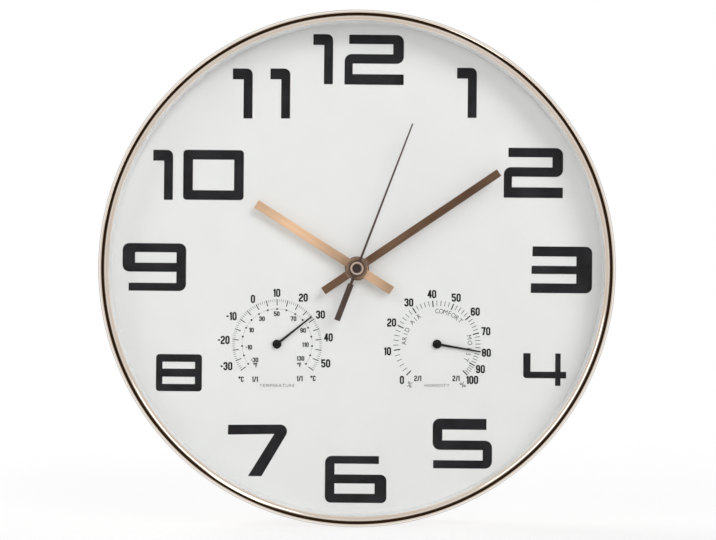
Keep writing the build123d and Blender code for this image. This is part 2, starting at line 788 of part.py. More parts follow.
spring_outer = ThreePointArc(
    (spring_foot, contact_bottom), (spring_reach, bay_middle), (spring_foot, contact_bottom + contact_width)
)
spring_inner = ThreePointArc(
    (spring_foot, contact_bottom + contact_thickness),
    (spring_reach - contact_thickness, bay_middle),
    (spring_foot, contact_bottom + contact_width - contact_thickness),
)
spring_ends = Line(spring_outer @ 0, spring_inner @ 0) + Line(spring_outer @ 1, spring_inner @ 1)
spring_face = make_face(spring_outer + spring_inner + spring_ends)
negative += extrude(Pos(0, 0, contact_low) * spring_face, contact_height)
parts["negative_contact"] = negative


def bar_hand(length, tail, width, hub_size, pipe_radius, low, front_ring_radius=0):
    """Stamped bar hand towards twelve: bar, round hub, tube below and a bore for its pipe."""
    half = width / 2
    high = low + hand_thickness
    blade = block(-half, half, -tail, length, low, high) + rod(hub_size, low, high)
    blade = chamfer(blade.faces().sort_by(Axis.Z)[-1].edges(), hand_chamfer)
    blade += rod(pipe_radius + press_gap + collet_wall, low - collet_length, low)
    top = high
    if front_ring_radius:
        top = high + minute_ring_height
        blade += rod(front_ring_radius, high, top)
    return blade - rod(pipe_radius + press_gap, low - collet_length - cut_overrun, top + cut_overrun)


# Hands at nine minutes past ten.
hour_hand = bar_hand(hour_length, hour_tail, hour_width, hand_hub_radius, hour_pipe_radius, hour_back)
parts["hour_hand"] = turned(hour_hand, hour_rest_deg)
minute_hand = bar_hand(
    minute_length,
    minute_tail,
    minute_width,
    minute_hub_radius,
    cannon_radius,
    minute_back,
    minute_ring_radius,
)
parts["minute_hand"] = turned(minute_hand, minute_rest_deg)

# Second hand: thin tapered needle, narrow neck and a broad counterweight tail.
second_front = second_back + second_thickness
neck_half = second_neck_width / 2
weight_half = second_tail_width / 2
needle = make_face(
    Polyline(
        (-second_root_width / 2, 0),
        (-second_tip_width / 2, second_length),
        (second_tip_width / 2, second_length),
        (second_root_width / 2, 0),
        close=True,
    )
)
second_hand = extrude(Pos(0, 0, second_back) * needle, second_thickness)
second_hand += block(-neck_half, neck_half, -second_tail, 0, second_back, second_front)
second_hand += block(-weight_half, weight_half, -second_tail, -second_tail_start, second_back, second_front)
second_hand += rod(second_hub_radius, second_back, second_front)
second_hand += rod(second_arbor_radius + collet_wall, second_back - second_collet_length, second_back)
second_bottom_cut = second_back - second_collet_length - cut_overrun
second_hand -= rod(second_bore, second_bottom_cut, second_front + cut_overrun)
parts["second_hand"] = turned(second_hand, second_rest_deg)
bevel_start = cap_front - cap_bevel_height
cap = rod(cap_radius, second_front, bevel_start)
cap += Pos(0, 0, bevel_start) * Cone(cap_radius, cap_radius - cap_bevel_width, cap_bevel_height, align=ON_BASE)
cap -= rod(second_bore, second_front - cut_overrun, second_front + cap_floor)
parts["second_hand_cap"] = cap

# Thermometer and hygrometer share one construction.
cup_back = dial_back - cup_depth
floor_back = dial_back - cup_floor
spiral_front = floor_back - spiral_start
spiral_back = spiral_front - spiral_height
pointer_back = dial_front + pointer_rise
pointer_front = pointer_back + pointer_thickness
pointer_cap_front = pointer_front + pointer_cap_height
spiral_inner = collar_radius + press_gap + spiral_thickness / 2
spiral_end = spiral_inner + spiral_half_turns * spiral_growth
post_reach = spiral_end + spiral_thickness / 2 + press_gap + coil_post_radius


def spiral_edge(offset):
    """Spiral of half turns, each a step wider than the last, moved out by the offset."""
    arcs = []
    for k in range(spiral_half_turns):
        radius = spiral_inner + k * spiral_growth + offset
        centre_x = (k % 2) * spiral_growth
        arcs.append(CenterArc((centre_x, 0), radius, 180 * (k % 2), 180))
    return arcs


outer_edge = spiral_edge(spiral_thickness / 2)
inner_edge = spiral_edge(-spiral_thickness / 2)
spiral_caps = [
    Line(outer_edge[0] @ 0, inner_edge[0] @ 0),
    Line(outer_edge[-1] @ 1, inner_edge[-1] @ 1),
]
spiral_face = make_face(outer_edge + inner_edge + spiral_caps)
spiral = extrude(Pos(0, 0, spiral_back) * spiral_face, spiral_height)
cup = rod(cup_radius, cup_back, dial_back) - rod(cup_radius - cup_wall, cup_back - cut_overrun, floor_back)
cup += block(
    -bridge_width / 2,
    bridge_width / 2,
    cup_wall / 2 - cup_radius,
    cup_radius - cup_wall / 2,
    cup_back,
    cup_back + bridge_thickness,
)
cup += rod(coil_post_radius, spiral_back, floor_back + cup_floor / 2, post_reach)
instrument_bore = instrument_arbor_radius + running_gap
cup -= rod(instrument_bore, floor_back - cut_overrun, dial_back + cut_overrun)
bearing_floor = cup_back + bridge_thickness / 2
cup -= rod(instrument_bore, bearing_floor, cup_back + bridge_thickness + cut_overrun)
arbor_with_collar = rod(instrument_arbor_radius, bearing_floor + pivot_gap, pointer_front)
arbor_with_collar += rod(collar_radius, spiral_back, spiral_front)
pointer_blade = make_face(
    Polyline(
        (-pointer_base_width / 2, 0),
        (-pointer_tip_width / 2, pointer_length),
        (pointer_tip_width / 2, pointer_length),
        (pointer_base_width / 2, 0),
        close=True,
    )
)
pointer = extrude(Pos(0, 0, pointer_back) * pointer_blade, pointer_thickness)
pointer += rod(pointer_hub_radius, pointer_back, pointer_front)
pointer -= rod(instrument_arbor_radius + press_gap, pointer_back - cut_overrun, pointer_front + cut_overrun)
cap_skirt_front = pointer_front + pointer_cap_skirt
dome_rise = pointer_cap_height - pointer_cap_skirt
dome_radius = (pointer_cap_radius**2 + dome_rise**2) / (2 * dome_rise)
dome = Pos(0, 0, pointer_cap_front - dome_radius) * Sphere(dome_radius)
pointer_cap = rod(pointer_cap_radius, pointer_front, pointer_cap_front) & dome
instruments = (("thermometer", -1, thermometer_rest_deg), ("hygrometer", 1, hygrometer_rest_deg))
for name, side, rest_deg in instruments:
    place = Pos(side * instrument_x, -instrument_drop)
    parts[name + "_cup"] = place * cup
    parts[name + "_coil"] = place * spiral
    parts[name + "_arbor"] = place * arbor_with_collar
    parts[name + "_pointer"] = place * turned(pointer, rest_deg)
    parts[name + "_pointer_cap"] = place * pointer_cap

# Stand the clock up: the dial looks along -Y and twelve points up.
os.makedirs("parts", exist_ok=True)
for name, shape in parts.items():
    export_step(Rot(90, 0, 0) * shape, f"parts/{name}.step")
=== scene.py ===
import json
import math

import bmesh
import bpy
import numpy as np
from mathutils import Matrix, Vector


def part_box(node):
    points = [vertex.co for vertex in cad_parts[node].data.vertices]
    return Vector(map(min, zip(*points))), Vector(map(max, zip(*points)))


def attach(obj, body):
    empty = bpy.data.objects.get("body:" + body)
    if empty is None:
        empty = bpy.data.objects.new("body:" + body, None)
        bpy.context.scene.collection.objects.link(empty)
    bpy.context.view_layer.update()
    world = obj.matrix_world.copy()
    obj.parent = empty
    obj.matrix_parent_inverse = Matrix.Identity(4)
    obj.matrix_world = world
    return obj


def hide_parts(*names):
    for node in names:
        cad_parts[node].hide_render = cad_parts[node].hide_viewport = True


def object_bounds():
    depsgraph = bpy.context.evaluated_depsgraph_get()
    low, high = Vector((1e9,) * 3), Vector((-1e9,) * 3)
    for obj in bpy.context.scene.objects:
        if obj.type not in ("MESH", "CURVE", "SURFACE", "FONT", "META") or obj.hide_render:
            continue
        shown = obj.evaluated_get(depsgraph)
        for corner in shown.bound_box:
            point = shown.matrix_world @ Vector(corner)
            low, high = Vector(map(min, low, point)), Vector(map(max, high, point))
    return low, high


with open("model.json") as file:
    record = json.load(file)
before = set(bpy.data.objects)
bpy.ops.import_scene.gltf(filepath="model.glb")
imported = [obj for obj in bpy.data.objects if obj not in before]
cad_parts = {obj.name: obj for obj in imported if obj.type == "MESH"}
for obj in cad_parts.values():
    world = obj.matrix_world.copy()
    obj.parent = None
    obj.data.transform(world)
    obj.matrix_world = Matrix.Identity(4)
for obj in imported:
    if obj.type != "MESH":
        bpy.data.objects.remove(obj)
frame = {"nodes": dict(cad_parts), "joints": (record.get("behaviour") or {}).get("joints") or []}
cad_low, cad_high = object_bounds()


# Case ring: a deep ring of thin aluminium, spun and plated rose gold, with a polished lip and a satin
# side. Glass, reveal wall and dial drop into it from behind; the cover screws go into six bosses.
ring_outer = cad_high.x
ring_wall = 0.0022
lip_inner = 0.1436
lip_crest_radius = 0.1467
lip_crest = -0.0423
lip_shoulder = -0.0363
lip_edge = -0.0405
ring_seat = -0.0398
outer_roundness = 2.6
inner_roundness = 1.22
roll_steps = 24
ring_steps = 360
boss_count = 6
boss_start = math.radians(30)
boss_circle = 0.1448
boss_radius = 0.0034
boss_bore = 0.0011
boss_back = -0.0045
boss_floor = -0.0135
boss_front = -0.0216
boss_steps = 32
plating_tones = ((0.93, 0.82, 0.72, 1.0), (0.88, 0.75, 0.64, 1.0))
plating_edge = (0.95, 0.885, 0.82, 1.0)
edge_span = (0.2, 0.55)
plating_gloss = (0.07, 0.13)
polish_marks = (0.0005, 0.0000005)
polish_cloud_scale = 30.0
polish_fade = 0.001
side_satin = 0.42
side_span = (lip_shoulder, lip_shoulder + polish_fade)
noise_span = (0.3, 0.7)
weld_distance = 1e-7
sharp_angle = math.radians(30)


def lathe(profile, steps, x=0.0, z=0.0):
    """Mesh of a closed profile carried round a line along Y: a point at radius r and depth y goes to
    (x + r sin t, y, z + r cos t) as t runs round the circle. Points at radius 0 become one pole."""
    radius, depth = np.array(profile, float).T
    turn = np.linspace(0, 2 * math.pi, steps, endpoint=False)[:, None]
    depth = np.broadcast_to(depth, (steps, len(depth)))
    places = np.stack((x + np.sin(turn) * radius, depth, z + np.cos(turn) * radius), axis=2)
    index = np.arange(depth.size).reshape(depth.shape)
    ahead = np.roll(index, -1, axis=0)
    faces = np.stack((index, np.roll(index, -1, axis=1), np.roll(ahead, -1, axis=1), ahead), axis=2)
    mesh = bpy.data.meshes.new("turned")
    mesh.from_pydata(places.reshape(-1, 3), [], faces.reshape(-1, 4).tolist())
    return mesh


def quarter(start, end, roundness):
    """Quarter of a superellipse from start, where it runs along the depth, to end, where it runs along
    the radius: both offsets follow the cosine and sine to the power 2 / roundness."""
    swing = np.linspace(0, math.pi / 2, roll_steps)
    radius = end[0] + (start[0] - end[0]) * np.cos(swing) ** (2 / roundness)
    depth = start[1] + (end[1] - start[1]) * np.sin(swing) ** (2 / roundness)
    return np.stack((radius, depth), axis=1)


def add_piece(name, meshes, body, material):
    """Join meshes, close their seams and make them a piece that rides on a body."""
    sheet = bmesh.new()
    for mesh in meshes:
        sheet.from_mesh(mesh)
        bpy.data.meshes.remove(mesh)
    bmesh.ops.remove_doubles(sheet, verts=sheet.verts, dist=weld_distance)
    loose = [edge for edge in sheet.edges if not edge.link_faces]
    bmesh.ops.delete(sheet, geom=loose, context="EDGES")
    mesh = bpy.data.meshes.new(name)
    sheet.to_mesh(mesh)
    sheet.free()
    mesh.shade_smooth()
    mesh.set_sharp_from_angle(angle=sharp_angle)
    mesh.materials.append(material)
    piece = bpy.data.objects.new(name, mesh)
    bpy.context.scene.collection.objects.link(piece)
    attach(piece, body)
    return piece


def add(tree, kind, inputs=None, **settings):
    """Add a shader node; inputs are plain values or sockets to link, by name or place."""
    made = tree.nodes.new("ShaderNode" + kind)
    for key, value in settings.items():
        setattr(made, key, value)
    for key, value in (inputs or {}).items():
        if isinstance(value, bpy.types.NodeSocket):
            tree.links.new(value, made.inputs[key])
        else:
            made.inputs[key].default_value = value
    return made


def effect(name, inputs, outputs):
    """Start a node group with named sockets; returns its tree, its inputs and its output node."""
    tree = bpy.data.node_groups.new(name, "ShaderNodeTree")
    for key, kind in inputs.items():
        tree.interface.new_socket(key, in_out="INPUT", socket_type="NodeSocket" + kind)
    for key in outputs:
        tree.interface.new_socket(key, in_out="OUTPUT", socket_type="NodeSocketFloat")
    return tree, tree.nodes.new("NodeGroupInput").outputs, tree.nodes.new("NodeGroupOutput").inputs


def blend(tree, share, first, second):
    """Colour that goes from first to second as share goes from 0 to 1."""
    return add(tree, "Mix", {0: share, 6: first, 7: second}, data_type="RGBA").outputs[2]


def spread(tree, value, low, high, span=(0, 1)):
    """Value that goes from low to high as the given one crosses the span."""
    ends = {"Value": value, "From Min": span[0], "From Max": span[1], "To Min": low, "To Max": high}
    return add(tree, "MapRange", ends).outputs["Result"]


def finish(name, **plain):
    """New material with one Principled shader; plain values go straight to its sockets."""
    material = bpy.data.materials.new(name)
    material.use_nodes = True
    shader = material.node_tree.nodes["Principled BSDF"]
    for key, value in plain.items():
        shader.inputs[key.replace("_", " ")].default_value = value
    return material, material.node_tree, shader


def surface(tree, shader, colour, roughness, height, depth):
    """Link colour, roughness and a bump of the given depth to a Principled shader."""
    bump = add(tree, "Bump", {"Height": height, "Distance": depth})
    tree.links.new(colour, shader.inputs["Base Color"])
    tree.links.new(roughness, shader.inputs["Roughness"])
    tree.links.new(bump.outputs["Normal"], shader.inputs["Normal"])


def dress(material, *names):
    """Give CAD nodes a finish."""
    for name in names:
        for place in frame["nodes"][name].material_slots:
            place.material = material


# Tool marks left by a lathe: noise over distance from the axis and depth along it.
marks_in = {"Vector": "Vector", "Pitch": "Float"}
marks_out = ("Lines", "Cloud")
turned_marks, given, shown = effect("turned_marks", marks_in, marks_out)
across = add(turned_marks, "VectorMath", {0: given["Vector"], 1: (1, 0, 1)}, operation="MULTIPLY")
radius = add(turned_marks, "VectorMath", {0: across.outputs[0]}, operation="LENGTH")
depth = add(turned_marks, "SeparateXYZ", {0: given["Vector"]})
ring_place = add(turned_marks, "CombineXYZ", {"X": radius.outputs["Value"], "Y": depth.outputs["Y"]})
ring_scale = add(turned_marks, "Math", {0: 1.0, 1: given["Pitch"]}, operation="DIVIDE")
rings = add(turned_marks, "TexNoise", {"Vector": ring_place.outputs[0], "Scale": ring_scale.outputs[0]})
clouds = add(turned_marks, "TexNoise", {"Vector": given["Vector"], "Scale": polish_cloud_scale})
turned_marks.links.new(spread(turned_marks, rings.outputs["Fac"], 0, 1, noise_span), shown["Lines"])
turned_marks.links.new(spread(turned_marks, clouds.outputs["Fac"], 0, 1, noise_span), shown["Cloud"])


def turned_metal(name, tones, gloss, marks):
    """Metal turned or polished about the hand axis: two near tones in clouds, and lathe lines of a
    pitch and depth on gloss and surface."""
    material, tree, shader = finish(name, Metallic=1.0)
    pitch, depth = marks
    place = add(tree, "TexCoord").outputs["Object"]
    lathed = add(tree, "Group", {"Vector": place, "Pitch": pitch}, node_tree=turned_marks).outputs
    colour = blend(tree, lathed["Cloud"], *tones)
    surface(tree, shader, colour, spread(tree, lathed["Lines"], *gloss), lathed["Lines"], depth)
    return material


rose_gold = turned_metal("rose_gold_plating", plating_tones, plating_gloss, polish_marks)
tree = rose_gold.node_tree
shader = tree.nodes["Principled BSDF"]
plating = shader.inputs["Base Color"].links[0].from_socket
aslant = spread(tree, add(tree, "LayerWeight").outputs["Facing"], 0, 1, edge_span)
tree.links.new(blend(tree, aslant, plating, plating_edge), shader.inputs["Base Color"])
depth = add(tree, "SeparateXYZ", {0: add(tree, "TexCoord").outputs["Object"]}).outputs["Y"]
polish = shader.inputs["Roughness"].links[0].from_socket
tree.links.new(spread(tree, depth, polish, side_satin, side_span), shader.inputs["Roughness"])
crest = (lip_crest_radius, lip_crest)
outer_roll = quarter((ring_outer, lip_shoulder), crest, outer_roundness)
inner_roll = quarter((lip_inner, lip_edge), crest, inner_roundness)[::-1]
ring_inner = ring_outer - ring_wall
walls = ((lip_inner, ring_seat), (ring_inner, ring_seat), (ring_inner, 0), (ring_outer, 0))
ring_profile = np.concatenate((outer_roll, inner_roll[1:], walls))
boss_profile = (
    (boss_bore, boss_back), (boss_radius, boss_back), (boss_radius, boss_front), (0, boss_front),
    (0, boss_floor), (boss_bore, boss_floor),
)
meshes = [lathe(ring_profile, ring_steps)]
for boss in boss_start + np.arange(boss_count) * 2 * math.pi / boss_count:
    meshes.append(lathe(boss_profile, boss_steps, boss_circle * math.cos(boss), boss_circle * math.sin(boss)))
ring = add_piece("case_ring", meshes, "case", rose_gold)
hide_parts("bezel_ring")


# Front glass: a flat disc of 2 mm float glass, ground at its edge, held behind the lip.
# It keeps the faint green of float glass and the odd wiping mark.
glass_tint = (0.975, 0.99, 0.985, 1.0)
glass_clear = (1.0, 1.0, 1.0, 1.0)
glass_index = 1.5
wipe_scale = 18.0
wipe_swirl = 1.5
wipe_gloss = (0.0, 0.03)

window, tree, shader = finish("float_glass", Metallic=0.0, Transmission_Weight=1.0, IOR=glass_index)
place = add(tree, "TexCoord").outputs["Object"]
wipes = add(tree, "TexNoise", {"Vector": place, "Scale": wipe_scale, "Distortion": wipe_swirl})
tree.links.new(blend(tree, wipes.outputs["Fac"], glass_tint, glass_clear), shader.inputs["Base Color"])
tree.links.new(spread(tree, wipes.outputs["Fac"], *wipe_gloss), shader.inputs["Roughness"])
path = add(tree, "LightPath").outputs
passing = add(tree, "Math", {0: path["Is Shadow Ray"], 1: path["Is Diffuse Ray"]}, operation="MAXIMUM")
clear = add(tree, "BsdfTransparent")
through = add(tree, "MixShader", {0: passing.outputs[0], 1: shader.outputs[0], 2: clear.outputs[0]})
tree.links.new(through.outputs[0], tree.nodes["Material Output"].inputs["Surface"])
dress(window, "front_glass")


# Reveal wall: a white ring moulded in plastic that keeps the glass off the dial.
# It is pushed in between the two and shows as a pale band inside the lip.
wall_tones = ((0.95, 0.95, 0.95, 1.0), (0.93, 0.93, 0.93, 1.0))
wall_gloss = (0.12, 0.22)
wall_grain = (0.0006, 0.000004)
grain_detail = 3.0
cloud_share = 0.03

# Grain of a spark-eroded mould, and the slow cloudiness of moulded plastic or paint.
mould_grain, given, shown = effect("mould_grain", {"Pitch": "Float"}, ("Grain", "Cloud"))
place = add(mould_grain, "TexCoord").outputs["Object"]
grain_scale = add(mould_grain, "Math", {0: 1.0, 1: given["Pitch"]}, operation="DIVIDE")
cloud_scale = add(mould_grain, "Math", {0: cloud_share, 1: given["Pitch"]}, operation="DIVIDE")
grain_inputs = {"Vector": place, "Scale": grain_scale.outputs[0], "Detail": grain_detail}
grains = add(mould_grain, "TexNoise", grain_inputs)
clouds = add(mould_grain, "TexNoise", {"Vector": place, "Scale": cloud_scale.outputs[0]})
mould_grain.links.new(spread(mould_grain, grains.outputs["Fac"], 0, 1, noise_span), shown["Grain"])
mould_grain.links.new(spread(mould_grain, clouds.outputs["Fac"], 0, 1, noise_span), shown["Cloud"])


def moulded(name, tones, gloss, grain, **plain):
    """Moulded or painted surface: two near tones in clouds, and a grain of a pitch and depth on gloss
    and surface."""
    material, tree, shader = finish(name, **plain)
    pitch, depth = grain
    cast = add(tree, "Group", {"Pitch": pitch}, node_tree=mould_grain).outputs
    colour = blend(tree, cast["Cloud"], *tones)
    surface(tree, shader, colour, spread(tree, cast["Grain"], *gloss), cast["Grain"], depth)
    return material


dress(moulded("white_wall", wall_tones, wall_gloss, wall_grain), "reveal_ring")


# Dial: a disc of white lacquered sheet with holes for the hands and the two pointers.
# Its shelf in the back cover presses it against the reveal wall.
dial_tones = ((0.81, 0.81, 0.80, 1.0), (0.79, 0.79, 0.78, 1.0))
dial_gloss = (0.5, 0.65)
dial_grain = (0.0004, 0.000001)
dial_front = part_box("dial_plate")[0].y

dress(moulded("dial_lacquer", dial_tones, dial_gloss, dial_grain), "dial_plate")


# Hour numerals: squared charcoal figures, screen printed on the dial in one thick coat of ink.
# Corners are millimetres from a figure's lower left corner: right, up and rounding.
mm = 0.001
ink_height = 0.00006
ink_tones = ((0.012, 0.012, 0.014, 1.0), (0.022, 0.022, 0.025, 1.0))
ink_gloss = (0.5, 0.7)
ink_grain = (0.0003, 0.000004)
ink_shine = 0.25
print_turn = math.radians(0.5)
arc_steps = 8
figures = {
    "0": (
        [(0, 0, 2.1), (35.6, 0, 2.1), (35.6, 29.4, 2.1), (0, 29.4, 2.1)],
        [(5.7, 5.7, 0), (5.7, 23.7, 0), (29.9, 23.7, 0), (29.9, 5.7, 0)],
    ),
    "1": ([(6.4, 0, 0), (11.7, 0, 0), (11.7, 29.4, 3.5), (0, 29.4, 0), (0, 23, 0), (6.4, 23, 0)],),
    "2": (
        [
            (0, 0, 0), (34.8, 0, 0), (34.8, 6.2, 0), (4.8, 6.2, 0), (4.8, 12.4, 0), (34.8, 12.4, 4.2),
            (34.8, 29.4, 4.2), (2.6, 29.4, 0), (2.6, 23.9, 0), (28.5, 23.9, 0), (28.5, 18, 0), (0, 18, 4.2),
        ],
    ),
    "3": (
        [
            (0, 0, 0), (36, 0, 3.8), (36, 27.4, 3.8), (0.9, 27.4, 0), (0.8, 21.5, 0), (26.7, 21.5, 0),
            (26.7, 16, 0), (0.4, 16, 0), (0.3, 11.2, 0), (26.7, 11.2, 0), (26.7, 5.7, 0), (0.1, 5.7, 0),
        ],
    ),
    "4": (
        [
            (0, 4.4, 2), (18.8, 4.4, 0), (18.8, 0, 0), (22, 0, 0), (22, 4.4, 0), (25.3, 4.4, 0),
            (25.3, 8.3, 0), (22, 8.3, 0), (22, 19.1, 0), (18.8, 19.1, 0), (18.8, 8.3, 0), (4.3, 8.3, 0),
            (4.3, 19.1, 0), (0, 19.1, 0),
        ],
    ),
    "5": (
        [
            (0.4, 0, 0), (35, 0, 4.2), (35, 16.5, 4.2), (5.7, 16.5, 0), (5.7, 22.8, 0), (31.6, 22.8, 0),
            (31.6, 29.3, 0), (0, 29.3, 4.2), (0, 10.9, 4.2), (29.5, 10.9, 0), (29.5, 4.8, 0), (0.4, 4.8, 0),
        ],
    ),
    "6": (
        [
            (0, 0, 3.6), (36.2, 0, 3), (36.2, 16.7, 3.6), (5.6, 16.7, 0), (5.6, 23, 0), (31.7, 23, 0),
            (31.7, 27.6, 0), (0, 27.6, 4),
        ],
        [(5.6, 5.4, 0), (5.6, 11.4, 0), (29.2, 11.4, 0), (29.2, 5.4, 0)],
    ),
    "7": ([(12, 0, 0), (20, 0, 0), (37.9, 30.6, 4), (0.2, 30.1, 0), (0, 24.3, 0), (27.3, 24.9, 0)],),
    "8": (
        [(0, 0, 2), (27, 0, 2), (27, 21.8, 2), (0, 21.8, 2)],
        [(3.8, 4.3, 0), (3.8, 8.5, 0), (22.9, 8.5, 0), (22.9, 4.3, 0)],
        [(3.8, 13.3, 0), (3.8, 17.3, 0), (22.9, 17.3, 0), (22.9, 13.3, 0)],
    ),
    "9": (
        [
            (3.7, 0, 0), (37.4, 0, 4), (37.4, 28, 4), (0, 28, 4), (0, 11.2, 4), (31.7, 11.2, 0),
            (31.7, 4.7, 0), (3.7, 4.7, 0),
        ],
        [(7.4, 16.5, 0), (7.4, 22.7, 0), (31.7, 22.7, 0), (31.7, 16.5, 0)],
    ),
}
numerals = {
    "12": ((-25.9, 108.4), (-7.4, 108.1)),
    "1": ((58.6, 88.6),),
    "2": ((86.2, 41.6),),
    "3": ((102.1, -14.4),),
    "4": ((97.6, -68.9),),
    "5": ((44.3, -117.5),),
    "6": ((-19.0, -137.7),),
    "7": ((-76.2, -122.0),),
    "8": ((-118.3, -72.1),),
    "9": ((-138.0, -13.0),),
    "10": ((-120.0, 40.4), (-102.3, 40.4)),
    "11": ((-73.2, 88.2), (-51.1, 88.2)),
}


def rounded(corners, closed=True):
    """Line through corners; a rounded one is cut back along both edges by radius / tan(half its
    angle) and bridged by an arc about the point that lies one radius from both edges."""
    corners = np.array(corners, float)
    point, radius = corners[:, :2], corners[:, 2:]
    back = np.roll(point, 1, axis=0) - point
    ahead = np.roll(point, -1, axis=0) - point
    if not closed:
        back[0] = ahead[0, ::-1] * (1, -1)
        ahead[-1] = back[-1, ::-1] * (1, -1)
    back /= np.linalg.norm(back, axis=1, keepdims=True)
    ahead /= np.linalg.norm(ahead, axis=1, keepdims=True)
    half = np.arccos(np.clip(np.sum(back * ahead, axis=1, keepdims=True), -1, 1)) / 2
    inward = (back + ahead) / np.linalg.norm(back + ahead, axis=1, keepdims=True)
    centre = point + inward * radius / np.sin(half)
    start = point + back * radius / np.tan(half) - centre
    side = point + ahead * radius / np.tan(half) - centre
    sweep = (math.pi - 2 * half)[:, None]
    turn = np.linspace(0, 1, arc_steps)[None, :, None] * sweep
    spokes = (start[:, None] * np.sin(sweep - turn) + side[:, None] * np.sin(turn)) / np.sin(sweep)
    arcs = centre[:, None] + spokes
    kept = (np.arange(arc_steps) == 0) | (radius > 0)
    return arcs[kept]


def filled(curve):
    """Mesh of a flat curve or of text, lying in XY with its thickness along Z."""
    holder = bpy.data.objects.new("flat", curve)
    bpy.context.scene.collection.objects.link(holder)
    mesh = bpy.data.meshes.new_from_object(holder.evaluated_get(bpy.context.evaluated_depsgraph_get()))
    bpy.data.objects.remove(holder)
    bpy.data.curves.remove(curve)
    return mesh


def cut_out(outlines):
    """Flat mesh of closed outlines, in which an outline inside another is a hole."""
    curve = bpy.data.curves.new("flat", "CURVE")
    curve.dimensions = "2D"
    curve.fill_mode = "BOTH"
    curve.extrude = ink_height / 2
    for outline in outlines:
        spline = curve.splines.new("POLY")
        spline.points.add(len(outline) - 1)
        spline.use_cyclic_u = True
        rows = np.zeros((len(outline), 4))
        rows[:, :2] = outline
        spline.points.foreach_set("co", rows.ravel())
    return filled(curve)


on_dial = Matrix(((1, 0, 0, 0), (0, 0, -1, dial_front - ink_height / 2), (0, 1, 0, 0), (0, 0, 0, 1)))


def stamp(mesh, x, z, turn=0.0, wide=1.0):
    """Set a flat mesh down on the dial at x, z: widened, turned clockwise, thickness towards the glass."""
    place = Matrix.Translation((x, z, 0)) @ Matrix.Rotation(-turn, 4, "Z")
    mesh.transform(on_dial @ place @ Matrix.Diagonal((wide, 1, 1, 1)))
    return mesh


ink = moulded("screen_ink", ink_tones, ink_gloss, ink_grain, Specular_IOR_Level=ink_shine)
for number, corners in numerals.items():
    meshes = []
    for figure, (x, z) in zip(number, corners):
        outlines = [rounded(outline) * mm for outline in figures[figure]]
        meshes.append(stamp(cut_out(outlines), x * mm, z * mm, print_turn))
    add_piece("numeral_" + number, meshes, "case", ink)


# Thermometer scale: a fine degree ring, a dotted inner ring for the second unit and upright
# condensed numbers, screen printed on the dial in the same ink.
hinge_places = {joint["name"]: joint["pos_m"] for joint in frame["joints"] if joint["type"] == "hinge"}
hub_x, _, hub_z = hinge_places["thermometer_turn"]
degree_turn = math.radians(2.8)
degrees_each_side = 45
long_tick_step = 5
tick_outer = 0.0264
long_tick_inner = 0.0227
short_tick_inner = 0.0248
long_tick_width = 0.00050
short_tick_width = 0.00022
dot_ring = 0.0206
dot_radius = 0.00058
dots_each_side = 8
dot_turn = math.radians(140 / 9)
hairline = 0.00010
number_height = 0.0049
small_number_height = 0.0028
small_number_width = 1.12
unit_height = 0.0033
ring_numbers = {
    "10": (-0.3, 30.1), "0": (-14.2, 26.5), "20": (15.4, 27.3), "-10": (-27.0, 16.4), "30": (25.5, 17.3),
    "-20": (-31.6, 2.4), "40": (30.2, 3.9), "-30": (-30.0, -13.0), "50": (28.6, -11.4),
}
inner_numbers = {
    "50": (-0.2, 17.8), "30": (-8.9, 14.9), "70": (9.5, 14.9), "10": (-15.1, 8.2), "90": (15.3, 8.0),
    "-10": (-16.7, -1.9), "110": (16.6, -0.4), "-30": (-13.4, -9.3), "130": (13.7, -8.5),
}
inner_units = ((-12.6, -12.4), (13.1, -12.3))
unit_signs = (
    ("°C", -21.2, -20.7), ("°C", 21.1, -20.2), ("1/1", -13.1, -20.7), ("1/1", 13.2, -20.3),
)
stroke_width = 0.60
figure_rise = 2.45
figure_step = 1.73
figure_steps = {"1": 1.15, "-": 1.3, "/": 1.2, "°": 1.4}
figure_loops = {
    "0": [[(0, 0, 0.48), (1, 0, 0.48), (1, 2.45, 0.48), (0, 2.45, 0.48)]],
    "6": [[(0, 0, 0.48), (1, 0, 0.48), (1, 1.42, 0.48), (0, 1.42, 0.48)]],
    "8": [
        [(0, 0, 0.48), (1, 0, 0.48), (1, 1.24, 0.42), (0, 1.24, 0.42)],
        [(0, 1.30, 0.42), (1, 1.30, 0.42), (1, 2.45, 0.48), (0, 2.45, 0.48)],
    ],
    "9": [[(0, 1.03, 0.48), (1, 1.03, 0.48), (1, 2.45, 0.48), (0, 2.45, 0.48)]],
    "°": [[(0, 1.8, 0.32), (0.65, 1.8, 0.32), (0.65, 2.45, 0.32), (0, 2.45, 0.32)]],
}
